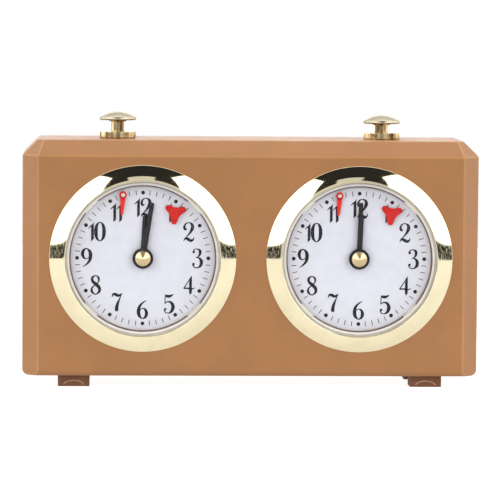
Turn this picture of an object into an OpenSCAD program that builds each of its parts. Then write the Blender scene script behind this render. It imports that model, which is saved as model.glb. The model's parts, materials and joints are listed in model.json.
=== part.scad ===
// Mechanical chess clock: one case, two eight-day style movements, a rocker and two push buttons.
// Width runs along X, depth along Y (0 at the case's front face while modelling, then centred), +Z is up.
// Depths are counted from the case's front face towards the back.

/* [Case] */
// Width of the case
case_w = 190; // [184:1:230]
// Height of the case, without feet and buttons
case_h = 98; // [96:1:120]
// Depth of the case
case_d = 48; // [46:1:64]
// Thickness of the side, top and bottom walls
wall = 2.6; // [2:0.1:3.2]
// Thickness of the front wall, which carries the windows
front_wall = 3.0; // [2.9:0.05:3.1]
// Bevel along the front face's top and side edges
front_bevel = 6.5; // [4:0.1:8]
// Bevel of the two top corners, seen from the front
corner_bevel = 6.3; // [4:0.1:8]
// Rounding along the bottom edges
bottom_round = 2.4; // [1:0.1:3]
// Space from the case's side to the bezel's rim
bezel_margin = 11.1; // [8:0.1:13]

/* [Feet] */
// Height of a foot
foot_h = 4.8; // [3:0.1:8]
// Width of a foot
foot_w = 13.2; // [10:0.1:18]
// Depth of a foot
foot_d = 10; // [8:0.5:14]
// Space from the case's side to the middle of a foot
foot_inset = 21.5; // [14:0.5:34]
// Space from the case's front or back to the nearest edge of a foot
foot_setback = 5; // [3:0.5:9]

/* [Buttons] */
// Distance of a button's axis outwards from its dial's centre
button_offset = 10.5; // [0:0.5:14]
// Radius of a button's cap
cap_r = 7.85; // [6:0.05:10]
// Height of a button's cap
cap_h = 3.7; // [2.5:0.1:6]
// Radius of a button's stem
stem_r = 2.8; // [2:0.1:3.2]
// Length of stem that shows when both buttons are level
stem_show = 4.23; // [3.5:0.05:6]
// Radius of the bush around a stem
bush_r = 7.75; // [6:0.05:10]
// Height of the bush above the case
bush_h = 2.9; // [2:0.1:4]
// Travel of a button up or down from level
button_travel = 3.0; // [2:0.1:3.2]
// How far the left button stands above level, and the right one below
rest_lift = 0.47; // [0:0.01:1]

/* [Bezels and lenses] */
// Outer radius of a bezel
bezel_r = 38.9; // [38:0.1:39.4]
// Inner radius of a bezel
bezel_bore = 32.1; // [31.9:0.05:32.3]
// Slope of a bezel's face at its rim, in degrees
bezel_slope_rim = 34; // [26:1:40]
// Slope of a bezel's face at its inner edge, in degrees
bezel_slope_inner = 13; // [8:1:20]
// Radius of the window behind the lens
window_r = 29.9; // [29.5:0.05:30.1]
// Thickness of the lens
lens_t = 1.2; // [0.8:0.1:1.4]
// Height of the lens's dome
lens_rise = 4.4; // [4:0.1:6]

/* [Dials and hands] */
// Radius of a dial
dial_r = 31.5; // [31:0.1:32]
// Thickness of a dial
dial_t = 0.8; // [0.5:0.1:1]
// Length of a minute hand from its axis
minute_len = 23.5; // [18:0.1:25]
// Length of an hour hand from its axis
hour_len = 17.8; // [12:0.1:18]
// Width of both hands
hand_w = 2.2; // [1.2:0.1:3]
// Radius of the gold cap on the hands
hand_cap_r = 3.15; // [2:0.05:4]
// Radius of the running indicator's lobes
star_r = 4.8; // [3:0.1:4.9]
// Length of the flag's tail below its pivot
flag_len = 8.2; // [6:0.1:8.4]

/* [Movement] */
// Thickness of both plates of a movement
plate_t = 1.2; // [1:0.1:1.4]
// Radius of the plates' pillars
pillar_r = 2.2; // [1.6:0.1:2.6]
// Radius of the balance's rim
balance_r = 9; // [7:0.1:10]
// Radius of the winding key's wings
key_wing_r = 4.8; // [4:0.1:5.5]
// Radius of the setting knob
knob_r = 4.6; // [3.5:0.1:6]
// Length of the knob and the key behind the case
handle_len = 11; // [8:0.5:14]

/* [Hidden] */
$fn = 48;

// Fits
running_gap = 0.05;   // radial gap of a pivot in its hole
seat_gap = 0.1;       // gap of a fixed piece in its seat
free_gap = 0.3;       // gap between pieces that pass each other
through = 1;          // how far a cutting shape passes the face it cuts

// Case
case_top = foot_h + case_h;
dial_z = foot_h + case_h / 2;
dial_x = case_w / 2 - bezel_margin - bezel_r;
bevel_loss = 2 - sqrt(2);        // share of a wall's thickness that a 45 degree bevel loses inside
facet_side = 0.708;              // slopes of the small facet where the three bevels meet
facet_front = 0.739;
cover_t = 2.5;
cover_front = case_d - cover_t;
boss_r = 3.0;
boss_sink = 0.4;                 // how far a boss sinks into the wall beside it
screw_r = 1.25;
screw_len = 9;
screw_head_r = 2.8;
screw_head_h = 1.6;
side_boss_x = case_w / 2 - wall - boss_r + boss_sink;
low_boss_z = foot_h + wall + boss_r - boss_sink;
cover_screw_at = [
    [-side_boss_x, low_boss_z], [side_boss_x, low_boss_z], [0, low_boss_z + 3],
    [-side_boss_x, case_top - 15], [side_boss_x, case_top - 15], [0, case_top - 33]
];
foot_stud_r = 2;
foot_y = [foot_setback + foot_d / 2, case_d - foot_setback - foot_d / 2];
foot_x = case_w / 2 - foot_inset;

// Bezel, lens and window
rim_seat_r = bezel_bore + 1.3;   // counterbore in the front wall, behind the bezel
rim_seat_depth = 1.6;
skirt_r = [rim_seat_r - 0.8, rim_seat_r - 0.2];
skirt_end = rim_seat_depth - free_gap;
lens_seat = 0.6;                 // depth of the lens's edge
lens_r = window_r + 0.8;
lens_flange_r = skirt_r[0] - 0.3;
lens_flange_t = 0.7;
claw_w = 6.4;                    // width of a claw, and of the notch it passes
notch_w = claw_w + 0.9;
claw_t = 0.6;
claw_x = [skirt_r[0] - 0.2, skirt_r[1] - 0.2];
claw_reach = rim_seat_r + 1.6;
claw_fold = front_wall + free_gap;

// Dial train, by depth
star_front = 2.1;
star_back = 2.9;
hand_t = 0.6;
minute_front = 1.2;
minute_t = 0.7;
hour_front = 2.3;
flag_front = 2.2;
flag_t = 0.5;
dial_front = front_wall + 0.4;
dial_back = dial_front + dial_t;
cap_front = -1.6;
hour_wheel_at = [4.8, 5.6];
minute_pinion_at = [4.6, 5.7];
cannon_at = [6.0, 7.0];

// Plates and arbors, by depth
plate_front = 8.0;
plate_back = 24.0;
plate_low = [-30.5, -41];
plate_high = [36, 30.5];
plate_corner = 5;
bay_front = plate_front + plate_t;
pillar_at = [[-27.5, 27.5], [33, 27], [-27.5, -38], [33, -38]];
stud_r = 1.0;
nut_r = 2.6;
nut_t = 1.5;
arbor_r = 0.6;
pivot_r = 0.35;
shaft_r = 0.8;                   // the centre arbor
winding_r = 1.5;
winding_pivot_r = 1.2;
cannon_r = 1.3;                  // pipe that carries the minute hand
hour_pipe_r = 2.0;
cannon_wall_gap = 0.2;

// Gearing: teeth, tooth size and the distances that follow
train_size = 0.3;
barrel_size = 0.6;
cannon_size = 0.35;
barrel_teeth = 60;
centre_pinion = 12;
centre_teeth = 80;
third_pinion = 10;
third_teeth = 75;
fourth_pinion = 10;
fourth_teeth = 64;
escape_pinion = 8;
escape_teeth = 15;
cannon_teeth = 12;
minute_teeth = 36;
minute_pinion = 10;
hour_teeth = 40;
hour_size = cannon_size * (cannon_teeth + minute_teeth) / (minute_pinion + hour_teeth);
escape_r = 7;
tooth_head = 0.6;                // tooth heights as shares of the tooth size
tooth_foot = 0.9;
third_angle = 109.9;             // directions from one arbor to the next
fourth_angle = 52.3;
escape_angle = -21.1;
pallet_angle = -50.1;
balance_angle = -60;
minute_angle = 200;
barrel_angle = 270;
centre_at = [0, 0];
barrel_at = gear_step(barrel_size, barrel_teeth, centre_pinion, barrel_angle);
third_at = gear_step(train_size, centre_teeth, third_pinion, third_angle);
fourth_at = third_at + gear_step(train_size, third_teeth, fourth_pinion, fourth_angle);
escape_at = fourth_at + gear_step(train_size, fourth_teeth, escape_pinion, escape_angle);
pallet_at = escape_at + polar(9.5, pallet_angle);
balance_at = pallet_at + polar(11.5, balance_angle);
minute_at = gear_step(cannon_size, cannon_teeth, minute_teeth, minute_angle);
flag_at = [-8.3, 26.2];
flag_post_r = 0.75;
flag_lean = 3.3;                 // how far the flag leans from straight down at rest
dial_foot_at = [[-17, 18], [17, -18]];
dial_foot_r = 0.8;

// Wheels, by depth
barrel_wheel_at = [9.8, 11.3];
centre_pinion_at = [9.7, 11.4];
centre_wheel_at = [20, 20.8];
third_pinion_at = [19.5, 21.3];
third_wheel_at = [13, 13.8];
fourth_pinion_at = [12.4, 14.4];
fourth_wheel_at = [16.5, 17.3];
escape_pinion_at = [16, 17.8];
escape_wheel_at = [11, 11.8];
lever_at = [12.2, 12.8];
roller_at = [13, 13.5];
balance_rim_at = [14.5, 16];
hairspring_at = [19, 20];
drum_r = 16.5;
drum_wall = 1.2;
drum_back = 18.5;
drum_cover_t = 0.6;
core_r = 4.2;
mainspring_r = [5.2, 14.6];
hairspring_r = [1.9, 5.6];
ratchet_r = 6;
ratchet_teeth = 20;
ratchet_at = [plate_back + plate_t + 0.4, plate_back + plate_t + 1.4];
click_post_at = barrel_at + [-8.6, 5.4];
click_post_r = 0.8;
regulator_at = [plate_back + plate_t + free_gap, plate_back + plate_t + 1.1];
regulator_boss_r = 1.9;
regulator_arm = 10;
regulator_pin_r = 0.8;
regulator_swing = 20;
handle_front = case_d + 0.7;
handle_back = case_d + handle_len;

// Rocker and buttons
button_x = dial_x + button_offset;
button_y = case_d / 2;
rocker_pivot_z = case_top - 13.8;
rocker_depth = 6;
rocker_front = button_y - rocker_depth / 2;
rocker_back = button_y + rocker_depth / 2;
rocker_pin_r = 1.5;
rocker_arm = [0.1, 2.5];         // underside and top of the arms above the pivot
rest_tilt = asin(rest_lift / button_x);
brake_x = balance_at[0];
brake_w = 2.4;
brake_at = [balance_rim_at[0] - 0.9, balance_rim_at[0] - 0.3];
brake_low = dial_z + balance_at[1] + balance_r - 1.4;
rocker_ends = [-button_x - 3.5, dial_x + brake_x + brake_w];
bush_bore = stem_r + running_gap;
bush_barrel_r = stem_r + 1.6;
bush_low = case_top - wall - 1.6;
plunger_low = rocker_pivot_z + rocker_arm[1] + free_gap;
collar_r = 4.2;
collar_z = bush_low - free_gap - button_travel - 1.8;
cap_low = case_top + bush_h + stem_show;

// Everything is centred between the lens's crown and the back of the keys
lens_crown = lens_seat - lens_rise;
middle_depth = (lens_crown + handle_back) / 2;

function polar(r, a) = [r * cos(a), r * sin(a)];
function gear_step(size, a, b, angle) = polar(size * (a + b) / 2, angle);
function arc(at, r, from, to, steps = 6) =
    [for (i = [0:steps]) at + polar(r, from + (to - from) * i / steps)];
// One tooth is four points: the two ends of its foot and of its tip, by share of the tooth pitch
function gear_outline(teeth, size) = let (r = teeth * size / 2, low = r - tooth_foot * size,
    high = r + tooth_head * size) [
    for (i = [0:teeth - 1], p = [[low, -0.29], [high, -0.1], [high, 0.1], [low, 0.29]])
        polar(p[0], 360 / teeth * (i + p[1]))];
function saw_outline(teeth, r, deep) =
    [for (i = [0:teeth - 1], p = [[r - deep, 0], [r, 0.08], [r, 0.2], [r - deep, 0.75]])
        polar(p[0], 360 / teeth * (i + p[1]))];
function spiral(from, to, turns, thick) = let (n = ceil(turns * 20)) concat(
    [for (i = [0:n]) polar(from + (to - from) * i / n, 360 * turns * i / n)],
    [for (i = [n:-1:0]) polar(from + thick + (to - from) * i / n, 360 * turns * i / n)]);

// A flat piece in the XZ plane between two depths
module slab(at) {
    rotate([90, 0, 0])
        translate([0, 0, -at[1]])
            linear_extrude(at[1] - at[0])
                children();
}

// A round piece about a front-to-back axis; each point is a radius and a depth
module turned(points) {
    rotate([90, 0, 0])
        rotate_extrude()
            polygon([for (p = points) [p[0], -p[1]]]);
}

module pin(at, r, from, to) {
    translate([at[0], 0, at[1]])
        slab([from, to])
            circle(r);
}

// A straight bar from one point to another, in 2D
module bar(from, to, width) {
    run = to - from;
    translate(from)
        rotate(atan2(run[1], run[0]))
            translate([0, -width / 2])
                square([norm(run), width]);
}

module placed() {
    translate([0, -middle_depth, 0])
        children();
}

// side is -1 for the left clock and 1 for the right one
module clock(side) {
    placed()
        translate([side * dial_x, 0, dial_z])
            children();
}

module at_arbor(at) {
    translate([at[0], 0, at[1]])
        children();
}

module gear(teeth, size, at, bore_r, facing) {
    rotate([0, -facing, 0])
        slab(at)
            difference() {
                polygon(gear_outline(teeth, size));
                circle(bore_r, $fn = 12);
                wheel_openings(teeth * size / 2);
            }
}

// Lightening holes, in wheels that are large enough for them
module wheel_openings(r) {
    if (r > 6)
        for (i = [0:4])
            rotate(72 * i + 36)
                translate([r * 0.56, 0])
                    circle(r * 0.24, $fn = 12);
}

// A pinion's gap faces the wheel that drives it
module pinion(teeth, size, at, bore_r, facing) {
    gear(teeth, size, at, bore_r, facing + 180 + 180 / teeth);
}

module arbor(at, front = bay_front + free_gap) {
    at_arbor(at) {
        turned([
            [0, plate_front + 0.2], [pivot_r, plate_front + 0.2], [pivot_r, front], [arbor_r, front],
            [arbor_r, plate_back - free_gap], [pivot_r, plate_back - free_gap],
            [pivot_r, plate_back + plate_t - 0.2], [0, plate_back + plate_t - 0.2]
        ]);
    }
}

// Case

module front_outline(inset) {
    x = case_w / 2 - inset;
    low = foot_h + inset;
    high = case_top - inset;
    cut = corner_bevel - bevel_loss * inset;
    r = bottom_round - inset;
    polygon(concat(
        r > 0.5 ? arc([-x + r, low + r], r, 180, 270) : [[-x, low]],
        r > 0.5 ? arc([x - r, low + r], r, 270, 360) : [[x, low]],
        [[x, high - cut], [x - cut, high], [-x + cut, high], [-x, high - cut]]));
}

module top_outline(inset, front, back) {
    x = case_w / 2 - inset;
    cut = front_bevel - bevel_loss * inset;
    polygon([[-x, back], [-x, front + cut], [-x + cut, front], [x - cut, front], [x, front + cut],
        [x, back]]);
}

module side_outline(inset, front, back) {
    low = foot_h + inset;
    high = case_top - inset;
    cut = front_bevel - bevel_loss * inset;
    r = bottom_round - inset;
    polygon(concat(r > 0.5 ? arc([front + r, low + r], r, 180, 270) : [[front, low]],
        [[back, low], [back, high], [front + cut, high], [front, high - cut]]));
}

module case_block(inset, front, back) {
    intersection() {
        slab([front, back])
            front_outline(inset);
        translate([0, 0, foot_h - through])
            linear_extrude(case_h + 2 * through)
                top_outline(inset, front, back);
        rotate([90, 0, 90])
            translate([0, 0, -case_w / 2 - through])
                linear_extrude(case_w + 2 * through)
                    side_outline(inset, front, back);
    }
}

module corner_facet(side) {
    size = 40;
    lean = acos(1 / norm([facet_side, facet_front, 1]));
    turn = atan2(-facet_front, side * facet_side);
    translate([side * (case_w / 2 - front_bevel), 0, case_top - front_bevel])
        rotate([0, lean, turn])
            translate([-size / 2, -size / 2, 0])
                cube(size);
}

// Four blocks on the diagonals, between two distances from the centre
module diagonals(width, from, to) {
    for (i = [0:3])
        rotate(45 + 90 * i)
            translate([from, -width / 2])
                square([to - from, width]);
}

module window_cut() {
    slab([-through, front_wall + through])
        circle(window_r);
    slab([-through, rim_seat_depth])
        circle(rim_seat_r);
    slab([-through, front_wall + through])
        diagonals(notch_w, window_r - 2, claw_x[1] + seat_gap);
}

module case_bosses() {
    for (at = cover_screw_at)
        pin(at, boss_r, front_wall - through, cover_front);
    for (side = [-1, 1], at = pillar_at)
        pin([side * dial_x, dial_z] + at, boss_r, front_wall - through, plate_front);
    pin([0, rocker_pivot_z], boss_r + 1, front_wall - through, rocker_front - free_gap);
}

module case_holes() {
    for (side = [-1, 1]) {
        translate([side * dial_x, 0, dial_z])
            window_cut();
        translate([side * button_x, button_y, case_top - wall - through])
            cylinder(r = bush_barrel_r + seat_gap, h = wall + 2 * through);
        for (y = foot_y)
            translate([side * foot_x, y, foot_h - through])
                cylinder(r = foot_stud_r + seat_gap, h = wall + 2 * through);
        for (at = pillar_at)
            pin([side * dial_x, dial_z] + at, stud_r + seat_gap, plate_front - 3, plate_front + through);
    }
    for (at = cover_screw_at)
        pin(at, screw_r + seat_gap, cover_front - screw_len, cover_front + through);
    pin([0, rocker_pivot_z], rocker_pin_r + running_gap, rocker_front - 9, rocker_front);
}

module case() {
    color("#AF7B50")
        placed()
            difference() {
                union() {
                    difference() {
                        case_block(0, 0, case_d);
                        corner_facet(-1);
                        corner_facet(1);
                        case_block(wall, front_wall, case_d + through);
                    }
                    intersection() {
                        case_bosses();
                        case_block(wall / 2, wall / 2, case_d);
                    }
                }
                case_holes();
            }
}

module back_cover() {
    color("#A8764D")
        placed()
            difference() {
                slab([cover_front, case_d])
                    front_outline(wall + seat_gap + 0.1);
                for (at = cover_screw_at)
                    pin(at, screw_r + 0.3, cover_front - through, case_d + through);
                for (side = [-1, 1])
                    translate([side * dial_x, 0, dial_z]) {
                        pin(centre_at, shaft_r + 0.7, cover_front - through, case_d + through);
                        pin(barrel_at, winding_r + 0.7, cover_front - through, case_d + through);
                        at_arbor(balance_at)
                            slab([cover_front - through, case_d + through])
                                regulator_slot();
                    }
            }
}

module regulator_slot() {
    half_w = regulator_pin_r + 0.5;
    reach = regulator_swing + asin((half_w + free_gap) / (regulator_arm - half_w));
    intersection() {
        difference() {
            circle(regulator_arm + half_w);
            circle(regulator_arm - half_w);
        }
        polygon([[0, 0], 2 * polar(regulator_arm, 90 + reach), 2 * polar(regulator_arm, 90 - reach)]);
    }
}

module cover_screws() {
    color("#C9C9C4")
        placed()
            for (at = cover_screw_at)
                at_arbor(at)
                    difference() {
                        turned([[0, cover_front - screw_len + 1], [screw_r, cover_front - screw_len + 1],
                            [screw_r, case_d], [screw_head_r, case_d], [screw_head_r, case_d + 1],
                            [screw_head_r - 0.8, case_d + screw_head_h], [0, case_d + screw_head_h]]);
                        translate([-screw_head_r - through, case_d + screw_head_h - 0.8, -0.35])
                            cube([2 * screw_head_r + 2 * through, through + 0.8, 0.7]);
                    }
}

module feet() {
    color("#785037")
        placed()
            for (side = [-1, 1], y = foot_y)
                translate([side * foot_x, y, 0]) {
                    foot_block();
                    translate([0, 0, foot_h - 0.5])
                        cylinder(r = foot_stud_r, h = wall + 0.5);
                }
}

module foot_block() {
    edge = 0.8;
    intersection() {
        translate([-foot_w / 2, -foot_d / 2, 0])
            cube([foot_w, foot_d, foot_h]);
        rotate([90, 0, 0])
            translate([0, 0, -foot_d])
                linear_extrude(2 * foot_d)
                    polygon([[-foot_w / 2 + edge, 0], [foot_w / 2 - edge, 0], [foot_w / 2, edge],
                        [foot_w / 2, foot_h], [-foot_w / 2, foot_h], [-foot_w / 2, edge]]);
    }
}

// Movement plates and pillars

module plate_outline() {
    size = plate_high - plate_low;
    translate(plate_low)
        polygon([[plate_corner, 0], [size[0] - plate_corner, 0], [size[0], plate_corner],
            [size[0], size[1] - plate_corner], [size[0] - plate_corner, size[1]],
            [plate_corner, size[1]], [0, size[1] - plate_corner], [0, plate_corner]]);
}

module plate(front, holes) {
    difference() {
        slab([front, front + plate_t])
            plate_outline();
        for (h = holes)
            pin(h[0], h[1], front - through, front + plate_t + through);
        for (at = pillar_at)
            pin(at, stud_r + seat_gap, front - through, front + plate_t + through);
    }
}

module front_plates() {
    pivot_hole = pivot_r + running_gap;
    color("#C8A24A")
        for (side = [-1, 1])
            clock(side) {
                plate(plate_front, [
                    [centre_at, shaft_r + running_gap], [barrel_at, winding_pivot_r + running_gap],
                    [third_at, pivot_hole], [fourth_at, pivot_hole], [pallet_at, pivot_hole],
                    [balance_at, pivot_hole], [escape_at, pivot_hole],
                    [dial_foot_at[0], dial_foot_r + seat_gap], [dial_foot_at[1], dial_foot_r + seat_gap]
                ]);
                // stud of the minute wheel, and the flag's post
                pin(minute_at, shaft_r, minute_pinion_at[0] - 0.2, plate_front + 0.5);
                pin(flag_at, flag_post_r, flag_front - 0.3, plate_front + 0.5);
            }
}

module back_plates() {
    pivot_hole = pivot_r + running_gap;
    back = plate_back + plate_t;
    color("#C8A24A")
        for (side = [-1, 1])
            clock(side) {
                difference() {
                    union() {
                        plate(plate_back, [
                            [centre_at, shaft_r + running_gap], [barrel_at, winding_r + running_gap],
                            [third_at, pivot_hole], [fourth_at, pivot_hole], [pallet_at, pivot_hole],
                            [escape_at, pivot_hole]
                        ]);
                        pin(balance_at, regulator_boss_r, back - 0.5, regulator_at[1] + free_gap);
                    }
                    pin(balance_at, pivot_hole, plate_back - through, regulator_at[1] + through);
                }
                // post of the click, and the stud that holds the hairspring's outer end
                pin(click_post_at, click_post_r, back - 0.5, ratchet_at[1] + free_gap);
                pin(balance_at + [hairspring_r[1] + 1.2, 0], 0.7, hairspring_at[0], plate_back + 0.5);
            }
}

module pillars() {
    back = plate_back + plate_t;
    color("#C9B079")
        for (side = [-1, 1])
            clock(side)
                for (at = pillar_at)
                    at_arbor(at) {
                        turned([
                            [0, plate_front - 2.5], [stud_r, plate_front - 2.5], [stud_r, bay_front],
                            [pillar_r, bay_front], [pillar_r, plate_back], [stud_r, plate_back],
                            [stud_r, back + nut_t + 0.6], [0, back + nut_t + 0.6]
                        ]);
                        slab([back, back + nut_t])
                            difference() {
                                circle(nut_r, $fn = 6);
                                circle(stud_r + running_gap);
                            }
                    }
}

// Rocker and buttons

module rocker() {
    color("#C8A24A")
        placed()
            translate([0, 0, rocker_pivot_z])
                rotate([0, rest_tilt, 0])
                    difference() {
                        union() {
                            slab([rocker_front, rocker_back]) {
                                translate([rocker_ends[0], rocker_arm[0]])
                                    square([rocker_ends[1] - rocker_ends[0], rocker_arm[1] - rocker_arm[0]]);
                                circle(boss_r + 0.5);
                            }
                            for (side = [-1, 1])
                                brake_finger(side * dial_x + brake_x);
                        }
                        pin([0, 0], rocker_pin_r + running_gap, rocker_front - through, rocker_back + through);
                    }
}

// A finger that comes down beside the balance's rim
module brake_finger(x) {
    foot = brake_low - rocker_pivot_z;
    translate([x - brake_w / 2, brake_at[0], rocker_arm[0]])
        cube([brake_w, rocker_front - brake_at[0] + 1, 1.2]);
    translate([x - brake_w / 2, brake_at[0], foot])
        cube([brake_w, brake_at[1] - brake_at[0], rocker_arm[0] + 1.2 - foot]);
}

module rocker_pivot() {
    color("#C9C9C4")
        placed()
            at_arbor([0, rocker_pivot_z])
                turned([[0, rocker_front - 8.5], [rocker_pin_r, rocker_front - 8.5],
                    [rocker_pin_r, rocker_back + free_gap], [rocker_pin_r + 1.4, rocker_back + free_gap],
                    [rocker_pin_r + 1.4, rocker_back + 1.2], [0, rocker_back + 1.2]]);
}

module button(side) {
    brim = 0.9;
    dome = arc([0, 0], 1, 0, 90, 8);
    color("#C9A050")
        placed()
            translate([side * button_x, button_y, -side * rest_lift])
                rotate_extrude()
                    polygon(concat(
                        [[0, plunger_low], [stem_r, plunger_low], [stem_r, collar_z],
                            [collar_r, collar_z], [collar_r, collar_z + 1.5], [stem_r, collar_z + 1.5],
                            [stem_r, cap_low], [cap_r, cap_low], [cap_r, cap_low + brim]],
                        [for (p = dome) [(cap_r - 0.5) * p[0], cap_low + brim + (cap_h - brim) * p[1]]]));
}

module button_bushes() {
    nut_low = case_top - wall - 1.3;
    color("#C9A050")
        placed()
            for (side = [-1, 1])
                translate([side * button_x, button_y, 0]) {
                    rotate_extrude()
                        polygon([[bush_bore, bush_low], [bush_barrel_r, bush_low],
                            [bush_barrel_r, case_top], [bush_r, case_top], [bush_r, case_top + bush_h - 0.4],
                            [bush_r - 0.4, case_top + bush_h], [bush_bore, case_top + bush_h]]);
                    translate([0, 0, nut_low])
                        difference() {
                            cylinder(r = bush_barrel_r + 2.4, h = 1.3, $fn = 6);
                            translate([0, 0, -through])
                                cylinder(r = bush_barrel_r + running_gap, h = 1.3 + 2 * through);
                        }
                }
}

// Bezel, lens and dial

module bezel(side) {
    edge = 0.4;
    face = [bezel_r - 0.3, bezel_bore + 0.8];
    r = (face[0] - face[1]) / (sin(bezel_slope_rim) - sin(bezel_slope_inner));
    steps = 6;
    crown = [for (i = [0:steps]) let (a = bezel_slope_rim + (bezel_slope_inner - bezel_slope_rim) * i / steps)
        [face[0] + r * (sin(a) - sin(bezel_slope_rim)), -edge - r * (cos(a) - cos(bezel_slope_rim))]];
    top = crown[steps][1];
    color("#D9B65C")
        clock(side) {
            turned(concat([[bezel_r, 0], [bezel_r, -edge / 2]], crown,
                [[bezel_bore + 0.3, top + 0.1], [bezel_bore, top + 0.5], [bezel_bore, 0.3], [skirt_r[0], 0.3],
                [skirt_r[0], skirt_end], [skirt_r[1], skirt_end], [skirt_r[1], 0]]));
            slab([skirt_end - 0.3, claw_fold + claw_t])
                diagonals(claw_w, claw_x[0], claw_x[1]);
            slab([claw_fold, claw_fold + claw_t])
                diagonals(claw_w, claw_x[0], claw_reach);
            slab([rim_seat_depth + 0.1, rim_seat_depth + 0.1 + claw_t])
                diagonals(claw_w, window_r + 0.05, claw_x[1]);
        }
}

module lens(side) {
    outer_r = (lens_r * lens_r + lens_rise * lens_rise) / (2 * lens_rise);
    inner_r = outer_r - lens_t;
    inner_edge = lens_r - 2.5;
    reach = asin(lens_r / outer_r);
    inner_reach = asin(inner_edge / inner_r);
    steps = 12;
    outside = [for (i = [0:steps]) [outer_r * sin(reach * i / steps),
        lens_crown + outer_r * (1 - cos(reach * i / steps))]];
    inside = [for (i = [steps:-1:0]) [inner_r * sin(inner_reach * i / steps),
        lens_crown + lens_t + inner_r * (1 - cos(inner_reach * i / steps))]];
    color("#E4EEF2", 0.35)
        clock(side)
            turned(concat(outside, [[lens_flange_r, lens_seat], [lens_flange_r, lens_seat + lens_flange_t],
                [inner_edge, lens_seat + lens_flange_t]], inside));
}

module dial(side) {
    color("#F1F1F4")
        clock(side) {
            difference() {
                slab([dial_front, dial_back])
                    circle(dial_r);
                pin(centre_at, hour_pipe_r + 0.5, dial_front - through, dial_back + through);
                pin(escape_at, pivot_r + 0.4, dial_front - through, dial_back + through);
                pin(flag_at, flag_post_r + seat_gap, dial_front - through, dial_back + through);
            }
            for (at = dial_foot_at)
                pin(at, dial_foot_r, dial_back - 0.3, bay_front);
        }
}

// Hands, flag and indicator

function minute_rest(side) = side < 0 ? 9.4 : 1.3;
function hour_rest(side) = 3;

module hand_outline(length, hub_r, bore_r) {
    tip_w = 0.84 * hand_w;
    difference() {
        union() {
            polygon([[-hand_w / 2, 0], [hand_w / 2, 0], [tip_w / 2, length - 0.4], [tip_w / 2 - 0.4, length],
                [-tip_w / 2 + 0.4, length], [-tip_w / 2, length - 0.4]]);
            circle(hub_r);
        }
        circle(bore_r);
    }
}

module minute_hand(side) {
    color("#1B1B1D")
        clock(side)
            slab([minute_front, minute_front + minute_t])
                rotate(-minute_rest(side))
                    hand_outline(minute_len, 4.3, cannon_r + running_gap);
}

module hour_hand(side) {
    color("#1B1B1D")
        clock(side)
            slab([hour_front, hour_front + hand_t])
                rotate(-hour_rest(side))
                    hand_outline(hour_len, 4.0, hour_pipe_r + running_gap);
}

module hand_cap(side) {
    color("#D2AA55")
        clock(side)
            turned([[0, cap_front], [0.8, cap_front + 0.2], [hand_cap_r, minute_front - 0.8],
                [hand_cap_r, minute_front], [shaft_r + running_gap, minute_front],
                [shaft_r + running_gap, 0.4], [0, 0.4]]);
}

module flag(side) {
    color("#D8412F")
        clock(side)
            at_arbor(flag_at)
                slab([flag_front, flag_front + flag_t])
                    rotate(-flag_lean)
                        difference() {
                            union() {
                                circle(1.55);
                                polygon([[-1.15, -0.6], [1.15, -0.6], [0.55, 0.4 - flag_len],
                                    [0.25, -flag_len], [-0.25, -flag_len], [-0.55, 0.4 - flag_len]]);
                            }
                            circle(flag_post_r + seat_gap);
                        }
}

// Three lobes with hollow sides between them, one pointing down
module indicator(side) {
    low_r = 0.4 * star_r;
    lobe_sharpness = 2.7;
    down = 263;
    color("#D8412F")
        clock(side)
            at_arbor(escape_at)
                slab([star_front, star_back])
                    difference() {
                        polygon([for (a = [0:6:354])
                            polar(low_r + (star_r - low_r) * pow((1 + cos(3 * (a - down))) / 2, lobe_sharpness), a)]);
                        circle(pivot_r + running_gap);
                    }
}

// Centre arbor with its wheel, pinion and cannon pinion; the setting knob sits on its back end
module centre_wheel(side) {
    color("#C8A24A")
        clock(side) {
            turned([
                [0, 0.6], [shaft_r, 0.6], [shaft_r, bay_front + free_gap], [1.2, bay_front + free_gap],
                [1.2, plate_back - free_gap], [shaft_r, plate_back - free_gap],
                [shaft_r, handle_back - 4], [0, handle_back - 4]
            ]);
            pinion(centre_pinion, barrel_size, centre_pinion_at, 1.3, barrel_angle + 180);
            gear(centre_teeth, train_size, centre_wheel_at, 1.3, third_angle);
            turned([[shaft_r + running_gap, minute_front + 0.1], [cannon_r, minute_front + 0.1],
                [cannon_r, cannon_at[1]], [shaft_r + running_gap, cannon_at[1]]]);
            gear(cannon_teeth, cannon_size, cannon_at, cannon_r * 1.05, minute_angle);
        }
}

module minute_wheel(side) {
    color("#C8A24A")
        clock(side)
            at_arbor(minute_at) {
                pinion(minute_teeth, cannon_size, cannon_at, 1.0, minute_angle);
                gear(minute_pinion, hour_size, minute_pinion_at, 1.0, minute_angle + 180);
                turned([[shaft_r + running_gap, minute_pinion_at[0]], [0.94, minute_pinion_at[0]],
                    [0.94, cannon_at[1]], [shaft_r + running_gap, cannon_at[1]]]);
            }
}

module hour_wheel(side) {
    bore = cannon_r + cannon_wall_gap;
    color("#C8A24A")
        clock(side) {
            turned([[bore, hour_front - 0.05], [hour_pipe_r, hour_front - 0.05],
                [hour_pipe_r, hour_wheel_at[1]], [bore, hour_wheel_at[1]]]);
            pinion(hour_teeth, hour_size, hour_wheel_at, hour_pipe_r * 1.05, minute_angle + 180);
        }
}

// Barrel, mainspring and winding work

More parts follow.
